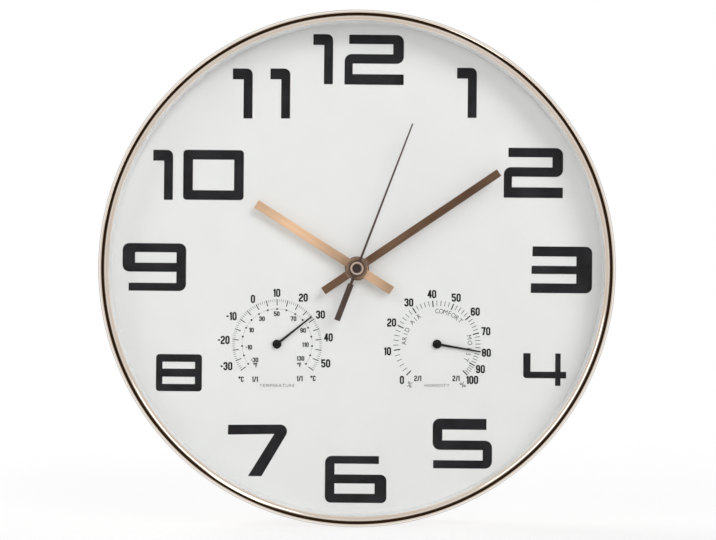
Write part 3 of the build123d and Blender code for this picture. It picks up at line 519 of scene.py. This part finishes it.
figure_strokes = {
    "1": [[(0.42, -0.25, 0), (0.42, 2.7, 0)], [(-0.05, 1.95, 0), (0.40, 2.35, 0)]],
    "2": [
        [
            (0, 1.8, 0), (0, 2.45, 0.48), (1, 2.45, 0.48), (1, 1.45, 0.4), (0, 0.6, 0.3), (0, 0, 0),
            (1.25, 0, 0),
        ],
    ],
    "3": [
        [(0, 1.8, 0), (0, 2.45, 0.48), (1, 2.45, 0.48), (1, 1.30, 0.42), (0.4, 1.30, 0)],
        [(0.42, 1.24, 0), (1, 1.24, 0.42), (1, 0, 0.48), (0, 0, 0.48), (0, 0.65, 0)],
    ],
    "4": [[(0.85, -0.25, 0), (0.85, 2.7, 0)], [(0.75, 2.5, 0), (0.1, 0.75, 0), (1.35, 0.75, 0)]],
    "5": [
        [
            (1.2, 2.45, 0), (0, 2.45, 0), (0, 1.45, 0), (1, 1.45, 0.48), (1, 0, 0.48), (0, 0, 0.48),
            (0, 0.65, 0),
        ],
    ],
    "6": [[(1, 1.85, 0), (1, 2.45, 0.48), (0, 2.45, 0.48), (0, 0.7, 0)]],
    "7": [[(-0.25, 2.45, 0), (1, 2.45, 0), (0.4, -0.25, 0)]],
    "9": [[(0, 0.6, 0), (0, 0, 0.48), (1, 0, 0.48), (1, 1.75, 0)]],
    "-": [[(0, 1.2, 0), (0.8, 1.2, 0)]],
    "/": [[(0, -0.25, 0), (0.7, 2.7, 0)]],
    "C": [[(1, 1.75, 0), (1, 2.45, 0.48), (0, 2.45, 0.48), (0, 0, 0.48), (1, 0, 0.48), (1, 0.7, 0)]],
    "F": [[(1.05, 2.45, 0), (0, 2.45, 0), (0, -0.25, 0)], [(0.1, 1.3, 0), (0.85, 1.3, 0)]],
}
title_height = 0.0018
title_drop = -0.0244
title_spacing = 1.25
title_weight = -0.006
letter_steps = 3
dot_steps = 12
hairline_steps = 97


def strips(paths, width, closed=False):
    """Flat printed lines: a rectangle carried along each path, mitred where the path turns. At a point
    the half width lies along (a + b) / (1 + a.b), with a and b the normals of the runs beside it."""
    runs = np.roll(paths, -1, axis=1) - paths
    runs /= np.linalg.norm(runs, axis=2, keepdims=True)
    after = np.stack((-runs[..., 1], runs[..., 0]), axis=2)
    before = np.roll(after, 1, axis=1)
    if not closed:
        after[:, -1] = before[:, -1]
        before[:, 0] = after[:, 0]
    aside = (before + after) / (1 + np.sum(before * after, axis=2, keepdims=True)) * width / 2
    lines, points = paths.shape[:2]
    ring = np.stack((paths + aside, paths - aside, paths - aside, paths + aside), axis=2)
    height = np.broadcast_to(np.array((1, 1, -1, -1)) * ink_height / 2, (lines, points, 4))
    corners = np.concatenate((ring, height[..., None]), axis=3)
    near = np.arange(lines * points * 4).reshape(lines, points, 4)
    far = np.roll(near, -1, axis=1)
    walls = np.stack((near, np.roll(near, -1, axis=2), np.roll(far, -1, axis=2), far), axis=3)
    faces = walls.reshape(-1, 4)
    if not closed:
        caps = np.concatenate((near[:, 0, ::-1], near[:, -1]))
        faces = np.concatenate((walls[:, :-1].reshape(-1, 4), caps))
    mesh = bpy.data.meshes.new("strips")
    mesh.from_pydata(corners.reshape(-1, 3), [], faces.tolist())
    return mesh


def on_circle(angles, radius):
    """Points at clock angles, from the top and clockwise, on circles of one radius or of several."""
    return np.stack((np.sin(angles) * radius, np.cos(angles) * radius), axis=-1)


def ticks(angles, inner, outer, width):
    """Radial lines from the inner to the outer circle."""
    return strips(np.stack((on_circle(angles, inner), on_circle(angles, outer)), axis=1), width)


def figure_line(signs, height, x, z, wide=1.0):
    """Printed line of stroke figures about a place on the dial: each figure is made of open strokes and
    closed loops in units of its own width, and the next one starts a fixed step to the right."""
    unit = height / (figure_rise + stroke_width)
    runs = []
    start = 0.0
    for sign in signs:
        for stroke in figure_strokes.get(sign, ()):
            runs.append((rounded(stroke, closed=False) + (start, 0), False))
        for loop in figure_loops.get(sign, ()):
            runs.append((rounded(loop) + (start, 0), True))
        start += figure_steps.get(sign, figure_step)
    places = np.concatenate([run for run, _ in runs])
    middle = (places[:, 0].min() + places[:, 0].max()) / 2, figure_rise / 2
    lines = []
    for run, closed in runs:
        flat = strips((run - middle)[None] * unit, stroke_width * unit, closed)
        lines.append(stamp(flat, x, z, wide=wide))
    return lines


def letters(words, height, weight=0.0, spacing=1.0):
    """Flat mesh of words at one capital height, centred on the origin, with weight added to each stroke."""
    text = bpy.data.curves.new("letters", "FONT")
    text.body = words
    text.offset = weight
    text.space_character = spacing
    text.resolution_u = letter_steps
    text.extrude = ink_height / 2
    mesh = filled(text)
    places = np.zeros(len(mesh.vertices) * 3)
    mesh.vertices.foreach_get("co", places)
    places = places.reshape(-1, 3)
    low, high = places.min(axis=0), places.max(axis=0)
    places[:, :2] = (places - (low + high) / 2)[:, :2] * height / (high[1] - low[1])
    mesh.vertices.foreach_set("co", places.ravel())
    return mesh


degrees = np.arange(-degrees_each_side, degrees_each_side + 1)
is_long = degrees % long_tick_step == 0
dots = np.arange(-dots_each_side, dots_each_side + 1) * dot_turn
dot_line = on_circle(np.linspace(dots[0], dots[-1], hairline_steps), dot_ring)
dot_outline = on_circle(np.linspace(0, -2 * math.pi, dot_steps, endpoint=False), dot_radius)
flat_prints = (
    ticks(degrees[is_long] * degree_turn, long_tick_inner, tick_outer, long_tick_width),
    ticks(degrees[~is_long] * degree_turn, short_tick_inner, tick_outer, short_tick_width),
    strips(dot_line[None], hairline),
    cut_out(on_circle(dots, dot_ring)[:, None] + dot_outline),
)
meshes = [stamp(flat, hub_x, hub_z) for flat in flat_prints]
for number, (x, z) in ring_numbers.items():
    meshes += figure_line(number, number_height, hub_x + x * mm, hub_z + z * mm)
for number, (x, z) in inner_numbers.items():
    meshes += figure_line(number, small_number_height, hub_x + x * mm, hub_z + z * mm, small_number_width)
for x, z in inner_units:
    meshes += figure_line("°F", small_number_height, hub_x + x * mm, hub_z + z * mm)
for sign, x, z in unit_signs:
    meshes += figure_line(sign, unit_height, hub_x + x * mm, hub_z + z * mm)
title = letters("TEMPERATURE", title_height, title_weight, title_spacing)
meshes.append(stamp(title, hub_x, hub_z + title_drop))
add_piece("thermometer_scale", meshes, "case", ink)


# Hygrometer scale: an uneven percent ring, because a hair or paper coil doesn't turn evenly, with
# upright condensed numbers and three zone names bent round the inside, in the same ink.
hub_x, _, hub_z = hinge_places["hygrometer_turn"]
percent_full = 100
major_step = 10
minor_step = 2
percent_marks = np.arange(0, percent_full + 1, major_step)
percent_angles = np.radians((-135.7, -98.3, -64.6, -34.1, -5.8, 22.6, 49.8, 75.2, 100.0, 120.0, 135.7))
percent_outer = 0.0256
major_inner = 0.0218
minor_inner = 0.0226
major_width = 0.00066
minor_width = 0.00034
percent_ring = 0.0295
zone_ring = 0.0194
zone_height = 0.0027
zone_width = 0.9
zone_weight = -0.004
zones = {"ARID AIR": (-88, -33), "COMFORT": (0, 45), "MOIST": (78, 118)}
class_signs = (("2/1", -11.3, -20.2), ("2/1", 11.2, -20.2))
percent_signs = ((-16.0, -23.8, 20.0), (15.2, -24.0, -20.0))

percents = np.arange(0, percent_full + 1, minor_step)
angles = np.interp(percents, percent_marks, percent_angles)
is_major = percents % major_step == 0
meshes = [
    stamp(ticks(angles[is_major], major_inner, percent_outer, major_width), hub_x, hub_z),
    stamp(ticks(angles[~is_major], minor_inner, percent_outer, minor_width), hub_x, hub_z),
]
for percent, (x, z) in zip(percent_marks, on_circle(percent_angles, percent_ring)):
    meshes += figure_line(str(percent), number_height, hub_x + x, hub_z + z)
for zone, ends in zones.items():
    letter_angles = np.linspace(*np.radians(ends), len(zone))
    for letter, angle, (x, z) in zip(zone, letter_angles, on_circle(letter_angles, zone_ring)):
        if letter != " ":
            flat = letters(letter, zone_height, zone_weight)
            meshes.append(stamp(flat, hub_x + x, hub_z + z, angle, wide=zone_width))
for sign, x, z in class_signs:
    meshes += figure_line(sign, unit_height, hub_x + x * mm, hub_z + z * mm)
for x, z, lean in percent_signs:
    meshes.append(stamp(letters("%", unit_height), hub_x + x * mm, hub_z + z * mm, math.radians(lean)))
title = letters("HUMIDITY", title_height, title_weight, title_spacing)
meshes.append(stamp(title, hub_x, hub_z + title_drop))
add_piece("hygrometer_scale", meshes, "case", ink)


# Two weather instruments: pale grey plastic cups behind the dial, each with a wound strip, an arbor
# and a black pointer with a domed cap in front. The strips are bimetal and treated foil.
cup_tones = ((0.75, 0.76, 0.76, 1), (0.68, 0.69, 0.70, 1))
cup_gloss = (0.3, 0.45)
cup_grain = (0.0005, 0.00001)
pointer_tones = ((0.012, 0.012, 0.013, 1), (0.020, 0.020, 0.022, 1))
pointer_gloss = (0.3, 0.45)
pointer_grain = (0.0003, 0.000005)
dome_tones = ((0.008, 0.008, 0.009, 1), (0.014, 0.014, 0.015, 1))
dome_gloss = (0.22, 0.32)
dome_grain = (0.0006, 0.000004)
dome_shine = 0.2
strip_tones = ((0.62, 0.52, 0.36, 1), (0.5, 0.44, 0.36, 1))
strip_gloss = (0.28, 0.42)
strip_lines = (0.0003, 0.000003)
line_stretch = (0.03, 1, 1)
line_detail = 4.0
patch_stretch = (0.4, 1, 1)
patch_scale = 120.0
streak_span = (0.4, 1.6)
along_x = 90.0

cup_white = moulded("cup_plastic", cup_tones, cup_gloss, cup_grain)
dress(cup_white, "thermometer_cup", "hygrometer_cup")
pointer_black = moulded("pointer_enamel", pointer_tones, pointer_gloss, pointer_grain)
dress(pointer_black, "thermometer_pointer", "hygrometer_pointer")
cap_black = moulded("cap_black", dome_tones, dome_gloss, dome_grain, Specular_IOR_Level=dome_shine)
dress(cap_black, "thermometer_pointer_cap", "hygrometer_pointer_cap")

# Hairlines of rolled, drawn or brushed metal: noise stretched along X of the given vector.
hair_lines, given, shown = effect("hair_lines", marks_in, marks_out)
line_scale = add(hair_lines, "Math", {0: 1.0, 1: given["Pitch"]}, operation="DIVIDE")
drawn = add(hair_lines, "VectorMath", {0: given["Vector"], 1: line_stretch}, operation="MULTIPLY")
line_inputs = {"Vector": drawn.outputs[0], "Scale": line_scale.outputs[0], "Detail": line_detail}
lines = add(hair_lines, "TexNoise", line_inputs)
patches = add(hair_lines, "VectorMath", {0: given["Vector"], 1: patch_stretch}, operation="MULTIPLY")
clouds = add(hair_lines, "TexNoise", {"Vector": patches.outputs[0], "Scale": patch_scale})
hair_lines.links.new(spread(hair_lines, lines.outputs["Fac"], 0, 1, noise_span), shown["Lines"])
hair_lines.links.new(spread(hair_lines, clouds.outputs["Fac"], 0, 1, noise_span), shown["Cloud"])


def brushed(name, tones, gloss, lines, clock_angle=along_x, metal=1.0):
    """Metal in two near tones with hairlines of a pitch and depth on gloss and surface, which run at a
    clock angle across the dial."""
    material, tree, shader = finish(name, Metallic=metal)
    pitch, depth = lines
    place = add(tree, "TexCoord").outputs["Object"]
    turned = (0, math.radians(along_x - clock_angle), 0)
    lying = add(tree, "Mapping", {"Vector": place, "Rotation": turned})
    marks = add(tree, "Group", {"Vector": lying.outputs[0], "Pitch": pitch}, node_tree=hair_lines).outputs
    streak = add(tree, "Math", {0: marks["Lines"], 1: marks["Cloud"]}, operation="ADD")
    colour = blend(tree, spread(tree, streak.outputs[0], 0, 1, streak_span), *tones)
    surface(tree, shader, colour, spread(tree, marks["Lines"], *gloss), marks["Lines"], depth)
    return material


bimetal = brushed("bimetal_strip", strip_tones, strip_gloss, strip_lines)
dress(bimetal, "thermometer_coil", "hygrometer_coil")


# Wheel train: white and natural acetal wheels and pinions on fine arbors, moulded in one shot each.
# They stand between the case and the lid of the movement.
wheel_tones = ((0.80, 0.79, 0.75, 1), (0.74, 0.73, 0.69, 1))
wheel_gloss = (0.3, 0.42)
wheel_grain = (0.0004, 0.000005)
arbor_tones = ((0.66, 0.66, 0.68, 1), (0.5, 0.5, 0.53, 1))
arbor_gloss = (0.2, 0.34)
arbor_lines = (0.0003, 0.000003)

acetal = moulded("acetal_wheel", wheel_tones, wheel_gloss, wheel_grain)
dress(
    acetal, "rotor_pinion", "step_wheel", "second_wheel", "third_wheel", "centre_wheel", "cannon_pinion",
    "motion_wheel", "hour_wheel",
)
bright_steel = brushed("bright_steel", arbor_tones, arbor_gloss, arbor_lines)
dress(bright_steel, "second_arbor", "thermometer_arbor", "hygrometer_arbor")


# Motor of the movement: sintered magnet in a stamped stator, a coil of enamelled copper on a white
# bobbin with its steel core. It is screwless: everything drops on pins in the case.
magnet_tones = ((0.06, 0.06, 0.065, 1), (0.1, 0.1, 0.105, 1))
magnet_gloss = (0.4, 0.6)
magnet_grain = (0.0003, 0.00001)
core_tones = ((0.42, 0.42, 0.44, 1), (0.32, 0.32, 0.35, 1))
core_gloss = (0.3, 0.46)
core_lines = (0.0004, 0.000004)
bobbin_tones = ((0.82, 0.81, 0.77, 1), (0.76, 0.75, 0.71, 1))
bobbin_gloss = (0.35, 0.5)
bobbin_grain = (0.0004, 0.000005)
copper_tones = ((0.72, 0.33, 0.16, 1), (0.5, 0.2, 0.09, 1))
copper_gloss = (0.18, 0.32)
copper_lines = (0.00016, 0.00002)
copper_angle = 0.0

dress(moulded("sintered_magnet", magnet_tones, magnet_gloss, magnet_grain), "rotor_magnet")
core_steel = brushed("core_steel", core_tones, core_gloss, core_lines)
dress(core_steel, "stator_plate", "coil_core")
dress(moulded("bobbin_nylon", bobbin_tones, bobbin_gloss, bobbin_grain), "coil_bobbin")
copper = brushed("enamelled_copper", copper_tones, copper_gloss, copper_lines, copper_angle)
dress(copper, "coil_winding")


# Circuit board: green glass-fibre laminate with tinned traces, a sealed black chip and a quartz
# crystal in a drawn steel can, soldered flat on it.
laminate_gloss = 0.35
weave_scale = 900.0
weave_greens = ((0.02, 0.17, 0.07, 1), (0.025, 0.2, 0.085, 1))
weave_gap = (0.015, 0.13, 0.055, 1)
chip_tones = ((0.012, 0.012, 0.012, 1), (0.02, 0.02, 0.02, 1))
chip_gloss = (0.25, 0.5)
chip_grain = (0.0005, 0.00002)
can_tones = ((0.7, 0.7, 0.71, 1), (0.58, 0.58, 0.6, 1))
can_gloss = (0.15, 0.28)
can_lines = (0.0004, 0.000003)

laminate, tree, shader = finish("board_laminate", Roughness=laminate_gloss)
place = add(tree, "TexCoord").outputs["Object"]
weave_inputs = {"Vector": place, "Scale": weave_scale, "Mortar": weave_gap}
weave_inputs["Color1"], weave_inputs["Color2"] = weave_greens
weave = add(tree, "TexBrick", weave_inputs)
tree.links.new(weave.outputs["Color"], shader.inputs["Base Color"])
dress(laminate, "circuit_board")
dress(moulded("sealed_chip", chip_tones, chip_gloss, chip_grain), "sealed_chip")
dress(brushed("drawn_can", can_tones, can_gloss, can_lines), "quartz_crystal")


# Movement case and lid: black styrene, moulded with a fine spark-eroded grain and snapped together.
# The fluted knob on the back sets the hands.
case_tones = ((0.016, 0.016, 0.017, 1), (0.026, 0.026, 0.028, 1))
case_gloss = (0.38, 0.56)
case_grain = (0.0004, 0.00003)
knob_tones = ((0.014, 0.014, 0.015, 1), (0.022, 0.022, 0.024, 1))
knob_gloss = (0.3, 0.45)
knob_grain = (0.0005, 0.00001)

case_black = moulded("movement_black", case_tones, case_gloss, case_grain)
dress(case_black, "movement_case", "movement_lid")
dress(moulded("knob_black", knob_tones, knob_gloss, knob_grain), "setting_knob")


# Fixing of the movement: a brass bush through the dial, a rubber washer, a flat brass washer and a
# hexagon nut that clamps the dial from the front.
brass_tones = ((0.80, 0.60, 0.30, 1), (0.66, 0.46, 0.2, 1))
brass_gloss = (0.18, 0.32)
brass_marks = (0.0002, 0.000004)
rubber_tones = ((0.015, 0.015, 0.015, 1), (0.028, 0.028, 0.028, 1))
rubber_gloss = (0.7, 0.88)
rubber_grain = (0.0005, 0.00003)

brass = turned_metal("turned_brass", brass_tones, brass_gloss, brass_marks)
dress(brass, "threaded_bush", "flat_washer", "mounting_nut")
dress(moulded("washer_rubber", rubber_tones, rubber_gloss, rubber_grain), "rubber_washer")


# Battery: one AA cell in a printed shrink sleeve, with bare steel ends; it lies across the foot of
# the movement between two sprung contacts and lifts out of the back.
cell_low, cell_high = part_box("battery")
sleeve_grey = (0.055, 0.06, 0.068, 1)
sleeve_band = (0.55, 0.33, 0.14, 1)
sleeve_gloss = (0.22, 0.34)
sleeve_pitch = 0.0008
sleeve_depth = 0.000004
sleeve_end_shares = (0.012, 0.955)
band_start_share = 0.70
step_sharpness = 0.004
cell_steel = (0.62, 0.62, 0.64, 1)
contact_tones = ((0.72, 0.71, 0.68, 1), (0.6, 0.59, 0.56, 1))
contact_gloss = (0.2, 0.34)
contact_lines = (0.0003, 0.000003)


def past(tree, value, limit):
    """Mask that turns from 0 to 1 where value passes limit."""
    return spread(tree, value, 0, 1, (limit - step_sharpness, limit + step_sharpness))


sleeve, tree, shader = finish("printed_sleeve")
place = add(tree, "TexCoord").outputs["Object"]
along = add(tree, "SeparateXYZ", {0: place}).outputs["X"]
cell_share = spread(tree, along, 0, 1, (cell_low.x, cell_high.x))
grain = add(tree, "Group", {"Pitch": sleeve_pitch}, node_tree=mould_grain).outputs["Grain"]
printed = blend(tree, past(tree, cell_share, band_start_share), sleeve_grey, sleeve_band)
covered = past(tree, cell_share, sleeve_end_shares[0])
bare_low = add(tree, "Math", {0: 1.0, 1: covered}, operation="SUBTRACT").outputs[0]
bare_high = past(tree, cell_share, sleeve_end_shares[1])
bare = add(tree, "Math", {0: bare_low, 1: bare_high}, operation="MAXIMUM").outputs[0]
colour = blend(tree, bare, printed, cell_steel)
surface(tree, shader, colour, spread(tree, grain, *sleeve_gloss), grain, sleeve_depth)
tree.links.new(bare, shader.inputs["Metallic"])
dress(sleeve, "battery")
spring_metal = brushed("sprung_contact", contact_tones, contact_gloss, contact_lines)
dress(spring_metal, "positive_contact", "negative_contact")


# Hands: stamped from thin sheet, brushed along their length and anodised rose gold, then pressed on
# their pipes. The second hand is the thinnest and darkest, with a turned cap over its pipe. The hour
# and minute hands are lit and shaded copies of the one rose gold: the hour hand's bright tone is
# painted highlight, and the minute hand's dark tone is painted shade.
hour_rest = -57.3
minute_rest = 56.0
second_rest = 21.05
# Hour hand: the rose gold of the hand, painted bright as painted highlight from the lamp it mirrors.
hour_lit_tones = ((0.98, 0.65, 0.415, 1), (0.84, 0.53, 0.325, 1))
hour_metal = 0.15
# Painted sheen and shade along each blade: shares of its colour at distances in millimetres from the axis.
hour_painted_sheen = (
    (-22, 0.52), (-8, 0.85), (8, 0.44), (13, 0.58), (22, 0.71), (32, 0.92), (43, 1.0), (50, 0.95),
    (57, 0.83), (66, 0.76),
)
# Minute hand: the same rose gold painted dark as painted shade, where it mirrors no lamp.
minute_shaded_tones = ((0.31, 0.18, 0.11, 1), (0.21, 0.115, 0.07, 1))
minute_painted_sheen = ((-24, 1.1), (10, 1.0), (30, 1.0), (60, 0.85), (100, 0.80))
blade_metal = 0.6
second_tones = ((0.18, 0.12, 0.105, 1), (0.12, 0.08, 0.07, 1))
second_painted_sheen = ((-31, 1.0), (0, 0.95), (90, 1.0))
hand_gloss = (0.42, 0.60)
hand_lines = (0.0012, 0.000006)
# Minute hand boss: its rose gold painted lighter as painted highlight, and inside about 5 mm a painted dark
# ring of shade in the recess round the cap.
boss_edge = (0.0072, 0.0075)
boss_tone_and_highlight = (0.50, 0.34, 0.25, 1)
boss_gloss = 0.24
boss_recess_shade_edge = (0.0047, 0.0051)
boss_recess_painted_shade = (0.30, 0.185, 0.125, 1)
cap_tones = ((0.86, 0.68, 0.58, 1), (0.76, 0.58, 0.48, 1))
cap_gloss = (0.08, 0.14)
cap_marks = (0.0002, 0.0000005)
cap_core_edge = (0.0025, 0.0029)
cap_core_tone = (0.050, 0.034, 0.031, 1)


def hand_finish(name, tones, clock_angle, metal, painted_sheen):
    """Brushed blade with painted sheen and shade along its length: its colour is dimmed by shares at
    distances in millimetres from the axis, counted towards the tip."""
    material = brushed(name, tones, hand_gloss, hand_lines, clock_angle, metal)
    tree = material.node_tree
    shader = tree.nodes["Principled BSDF"]
    turn = math.radians(clock_angle)
    place = add(tree, "TexCoord").outputs["Object"]
    tip = (math.sin(turn), 0, math.cos(turn))
    along = add(tree, "VectorMath", {0: place, 1: tip}, operation="DOT_PRODUCT").outputs["Value"]
    start, end = painted_sheen[0][0], painted_sheen[-1][0]
    ramp = add(tree, "ValToRGB", {0: spread(tree, along, 0, 1, (start * mm, end * mm))})
    stops = ramp.color_ramp.elements
    for stop, (distance, share) in enumerate(painted_sheen):
        ends = distance in (start, end)
        element = stops[stop] if ends else stops.new((distance - start) / (end - start))
        element.color = (share, share, share, 1)
    colour = shader.inputs["Base Color"].links[0].from_socket
    inputs = {0: 1.0, 6: colour, 7: ramp.outputs["Color"]}
    dimmed = add(tree, "Mix", inputs, data_type="RGBA", blend_type="MULTIPLY").outputs[2]
    tree.links.new(dimmed, shader.inputs["Base Color"])
    return material


def beyond(tree, edge):
    """Mask that turns from 0 to 1 where the distance from the hand axis crosses the edge span."""
    place = add(tree, "TexCoord").outputs["Object"]
    flat = add(tree, "VectorMath", {0: place, 1: (1, 0, 1)}, operation="MULTIPLY").outputs[0]
    off_axis = add(tree, "VectorMath", {0: flat}, operation="LENGTH").outputs["Value"]
    return spread(tree, off_axis, 0, 1, edge)


# Hour hand with painted highlight in its tone, minute hand with painted shade in its tone.
dress(hand_finish("hour_gold", hour_lit_tones, hour_rest, hour_metal, hour_painted_sheen), "hour_hand")
shaded_gold = hand_finish("minute_gold_painted_shade", minute_shaded_tones, minute_rest, blade_metal, minute_painted_sheen)
tree = shaded_gold.node_tree
shader = tree.nodes["Principled BSDF"]
on_blade = beyond(tree, boss_edge)
blade_tone = shader.inputs["Base Color"].links[0].from_socket
blade_gloss = shader.inputs["Roughness"].links[0].from_socket
# Painted highlight on the boss and painted shade in its recess round the cap.
boss_painted_colour = blend(tree, beyond(tree, boss_recess_shade_edge), boss_recess_painted_shade, boss_tone_and_highlight)
tree.links.new(blend(tree, on_blade, boss_painted_colour, blade_tone), shader.inputs["Base Color"])
tree.links.new(spread(tree, on_blade, boss_gloss, blade_gloss), shader.inputs["Roughness"])
dress(shaded_gold, "minute_hand")
dark_bronze = hand_finish("second_bronze", second_tones, second_rest, blade_metal, second_painted_sheen)
dress(dark_bronze, "second_hand")
cap_gold = turned_metal("cap_gold", cap_tones, cap_gloss, cap_marks)
tree = cap_gold.node_tree
shader = tree.nodes["Principled BSDF"]
rim_tone = shader.inputs["Base Color"].links[0].from_socket
on_rim = beyond(tree, cap_core_edge)
tree.links.new(blend(tree, on_rim, cap_core_tone, rim_tone), shader.inputs["Base Color"])
tree.links.new(on_rim, shader.inputs["Metallic"])
dress(cap_gold, "second_hand_cap")


# Back cover: a white styrene pan, moulded with ribs, a collar round the movement and two grilles
# that let air to the instruments. Six screws hold it in the ring.
cover_tones = ((0.80, 0.80, 0.79, 1), (0.76, 0.76, 0.75, 1))
cover_gloss = (0.42, 0.6)
cover_grain = (0.0006, 0.00002)

dress(moulded("cover_styrene", cover_tones, cover_gloss, cover_grain), "back_cover")


# Hanger and screws: a stamped keyhole plate of zinc-plated steel, two short screws that hold it and
# six that hold the cover, all with cross recesses.
zinc_tones = ((0.62, 0.63, 0.65, 1), (0.48, 0.5, 0.53, 1))
zinc_gloss = (0.26, 0.44)
zinc_lines = (0.0008, 0.000006)

zinc = brushed("zinc_plate", zinc_tones, zinc_gloss, zinc_lines)
dress(zinc, "hanger_plate", "hanger_screws", "cover_screws")


# Stage: a pale floor just under the ring, a white surround and soft boxes in front and behind.
# What lies towards the camera stays dark for polished metal, as a room does behind a camera. Of
# the boxes the metal mirrors only the three small ones, which give the lip its glints.
floor_gap = 0.0005
floor_reach = 6.0
floor_matt = (0.9, 0.9, 0.9, 1.0)
floor_shadow_share = 0.20
floor_shadow_reach = (0.25, 0.60)
surround_white = (1.0, 1.0, 1.0, 1.0)
fill_light = (0.18, 0.18, 0.18, 1.0)
surround_tones = (
    (-1.0, 0.45), (-0.8, 0.55), (-0.3, 1.0), (0.0, 1.0), (0.25, 0.8), (0.43, 0.66), (0.58, 0.66),
    (0.65, 0.70), (0.70, 0.82), (0.735, 0.86), (0.765, 0.30), (0.80, 0.02), (1.0, 0.016),
)
dark_tone = 0.1
dark_tint = (1.5, 0.85, 0.42)
soft_boxes = {
    "front": ((0.0, -8.0, 0.3), (2.6, 2.6), 125.0),
    "key_right": ((4.82, -7.32, 4.82), (6.0, 6.0), 495.0),
    "key_left": ((-6.04, -6.16, 5.06), (6.0, 6.0), 240.0),
    "glint_right": ((0.85, -1.44, 1.10), (1.25, 0.15), 1.1),
    "glint_left": ((-1.13, -1.44, 0.80), (1.25, 0.15), 1.0),
    "glint_top": ((0.565, -1.60, 1.065), (0.28, 0.42), 0.7),
    "back_top": ((-1.10, 1.10, 1.30), (1.2, 1.2), 28.0),
    "back_side": ((1.50, 0.90, 0.40), (1.2, 1.2), 8.0),
}
mirrored_boxes = ("glint_right", "glint_left", "glint_top")

floor_height = cad_low.z - floor_gap
floor_square = np.array(((-1, -1, 0), (1, -1, 0), (1, 1, 0), (-1, 1, 0)))
floor_mesh = bpy.data.meshes.new("floor")
floor_mesh.from_pydata(floor_square * floor_reach + (0, 0, floor_height), [], [(0, 1, 2, 3)])
floor = bpy.data.objects.new("floor", floor_mesh)
floor.visible_glossy = False
floor.visible_transmission = False
bpy.context.scene.collection.objects.link(floor)


def seen_ray(tree, path):
    """1 for rays from the camera, a reflection or a refraction, 0 for rays that only carry light."""
    seen = path["Is Camera Ray"]
    for kind in ("Is Glossy Ray", "Is Transmission Ray"):
        seen = add(tree, "Math", {0: seen, 1: path[kind]}, operation="MAXIMUM").outputs[0]
    return seen


floor_paint = bpy.data.materials.new("floor_paint")
floor_paint.use_nodes = True
tree = floor_paint.node_tree
tree.nodes.remove(tree.nodes["Principled BSDF"])
place = add(tree, "TexCoord").outputs["Object"]
far = add(tree, "VectorMath", {0: place}, operation="LENGTH").outputs["Value"]
shadow_share = spread(tree, far, floor_shadow_share, 0, floor_shadow_reach)
seen = seen_ray(tree, add(tree, "LightPath").outputs)
matt = add(tree, "BsdfDiffuse", {"Color": floor_matt})
white = add(tree, "Emission", {"Color": surround_white})
matt_share = spread(tree, seen, 1, shadow_share)
mixed = add(tree, "MixShader", {0: matt_share, 1: white.outputs[0], 2: matt.outputs[0]})
tree.links.new(mixed.outputs[0], tree.nodes["Material Output"].inputs["Surface"])
floor_mesh.materials.append(floor_paint)

surround = bpy.data.worlds.new("surround")
surround.use_nodes = True
tree = surround.node_tree
path = add(tree, "LightPath").outputs
towards = add(tree, "TexCoord").outputs["Generated"]
forward = add(tree, "SeparateXYZ", {0: towards}).outputs["Y"]
ramp = add(tree, "ValToRGB", {0: spread(tree, forward, 1, 0, (-1, 1))})
tones = ramp.color_ramp.elements
for stop, (ahead, tone) in enumerate(surround_tones):
    share = (ahead + 1) / 2
    element = tones[stop] if share in (0, 1) else tones.new(share)
    tint = dark_tint if tone < dark_tone else (1, 1, 1)
    element.color = (*(tone * part for part in tint), 1)
lit = blend(tree, seen_ray(tree, path), fill_light, ramp.outputs["Color"])
shade = blend(tree, path["Is Camera Ray"], lit, surround_white)
tree.links.new(shade, tree.nodes["Background"].inputs["Color"])
bpy.context.scene.world = surround

# A box faces the clock and is wide round it: its X runs along the clock circle and its Z away.
for name, (place, size, power) in soft_boxes.items():
    lamp = bpy.data.lights.new(name, "AREA")
    lamp.shape = "RECTANGLE"
    lamp.size, lamp.size_y = size
    lamp.energy = power
    box = bpy.data.objects.new(name, lamp)
    away = np.array(place) / np.linalg.norm(place)
    along = np.array((place[2], 0, -place[0])) / math.hypot(place[0], place[2])
    box.location = place
    box.rotation_euler = Matrix((along, np.cross(away, along), away)).transposed().to_euler()
    box.visible_camera = False
    box.visible_glossy = name in mirrored_boxes
    box.visible_transmission = False
    bpy.context.scene.collection.objects.link(box)


# Camera: square to the dial from one metre, framed as in a picture of 716 by 540 pixels in which
# the ring is 517 pixels wide and sits a little up and left of the middle.
image_size = (716, 540)
ring_pixels = 516.8
ring_centre = (357.0, 268.4)
camera_distance = 1.0

pixel = (cad_high.x - cad_low.x) / ring_pixels
camera = bpy.data.cameras.new("camera")
camera.lens = camera.sensor_width * camera_distance / (image_size[0] * pixel)
eye = bpy.data.objects.new("camera", camera)
eye.location = (
    (image_size[0] / 2 - ring_centre[0]) * pixel,
    lip_shoulder - camera_distance,
    (ring_centre[1] - image_size[1] / 2) * pixel,
)
eye.rotation_euler = (math.pi / 2, 0, 0)
bpy.context.scene.collection.objects.link(eye)
bpy.context.scene.camera = eye
bpy.context.scene.view_settings.view_transform = "Standard"
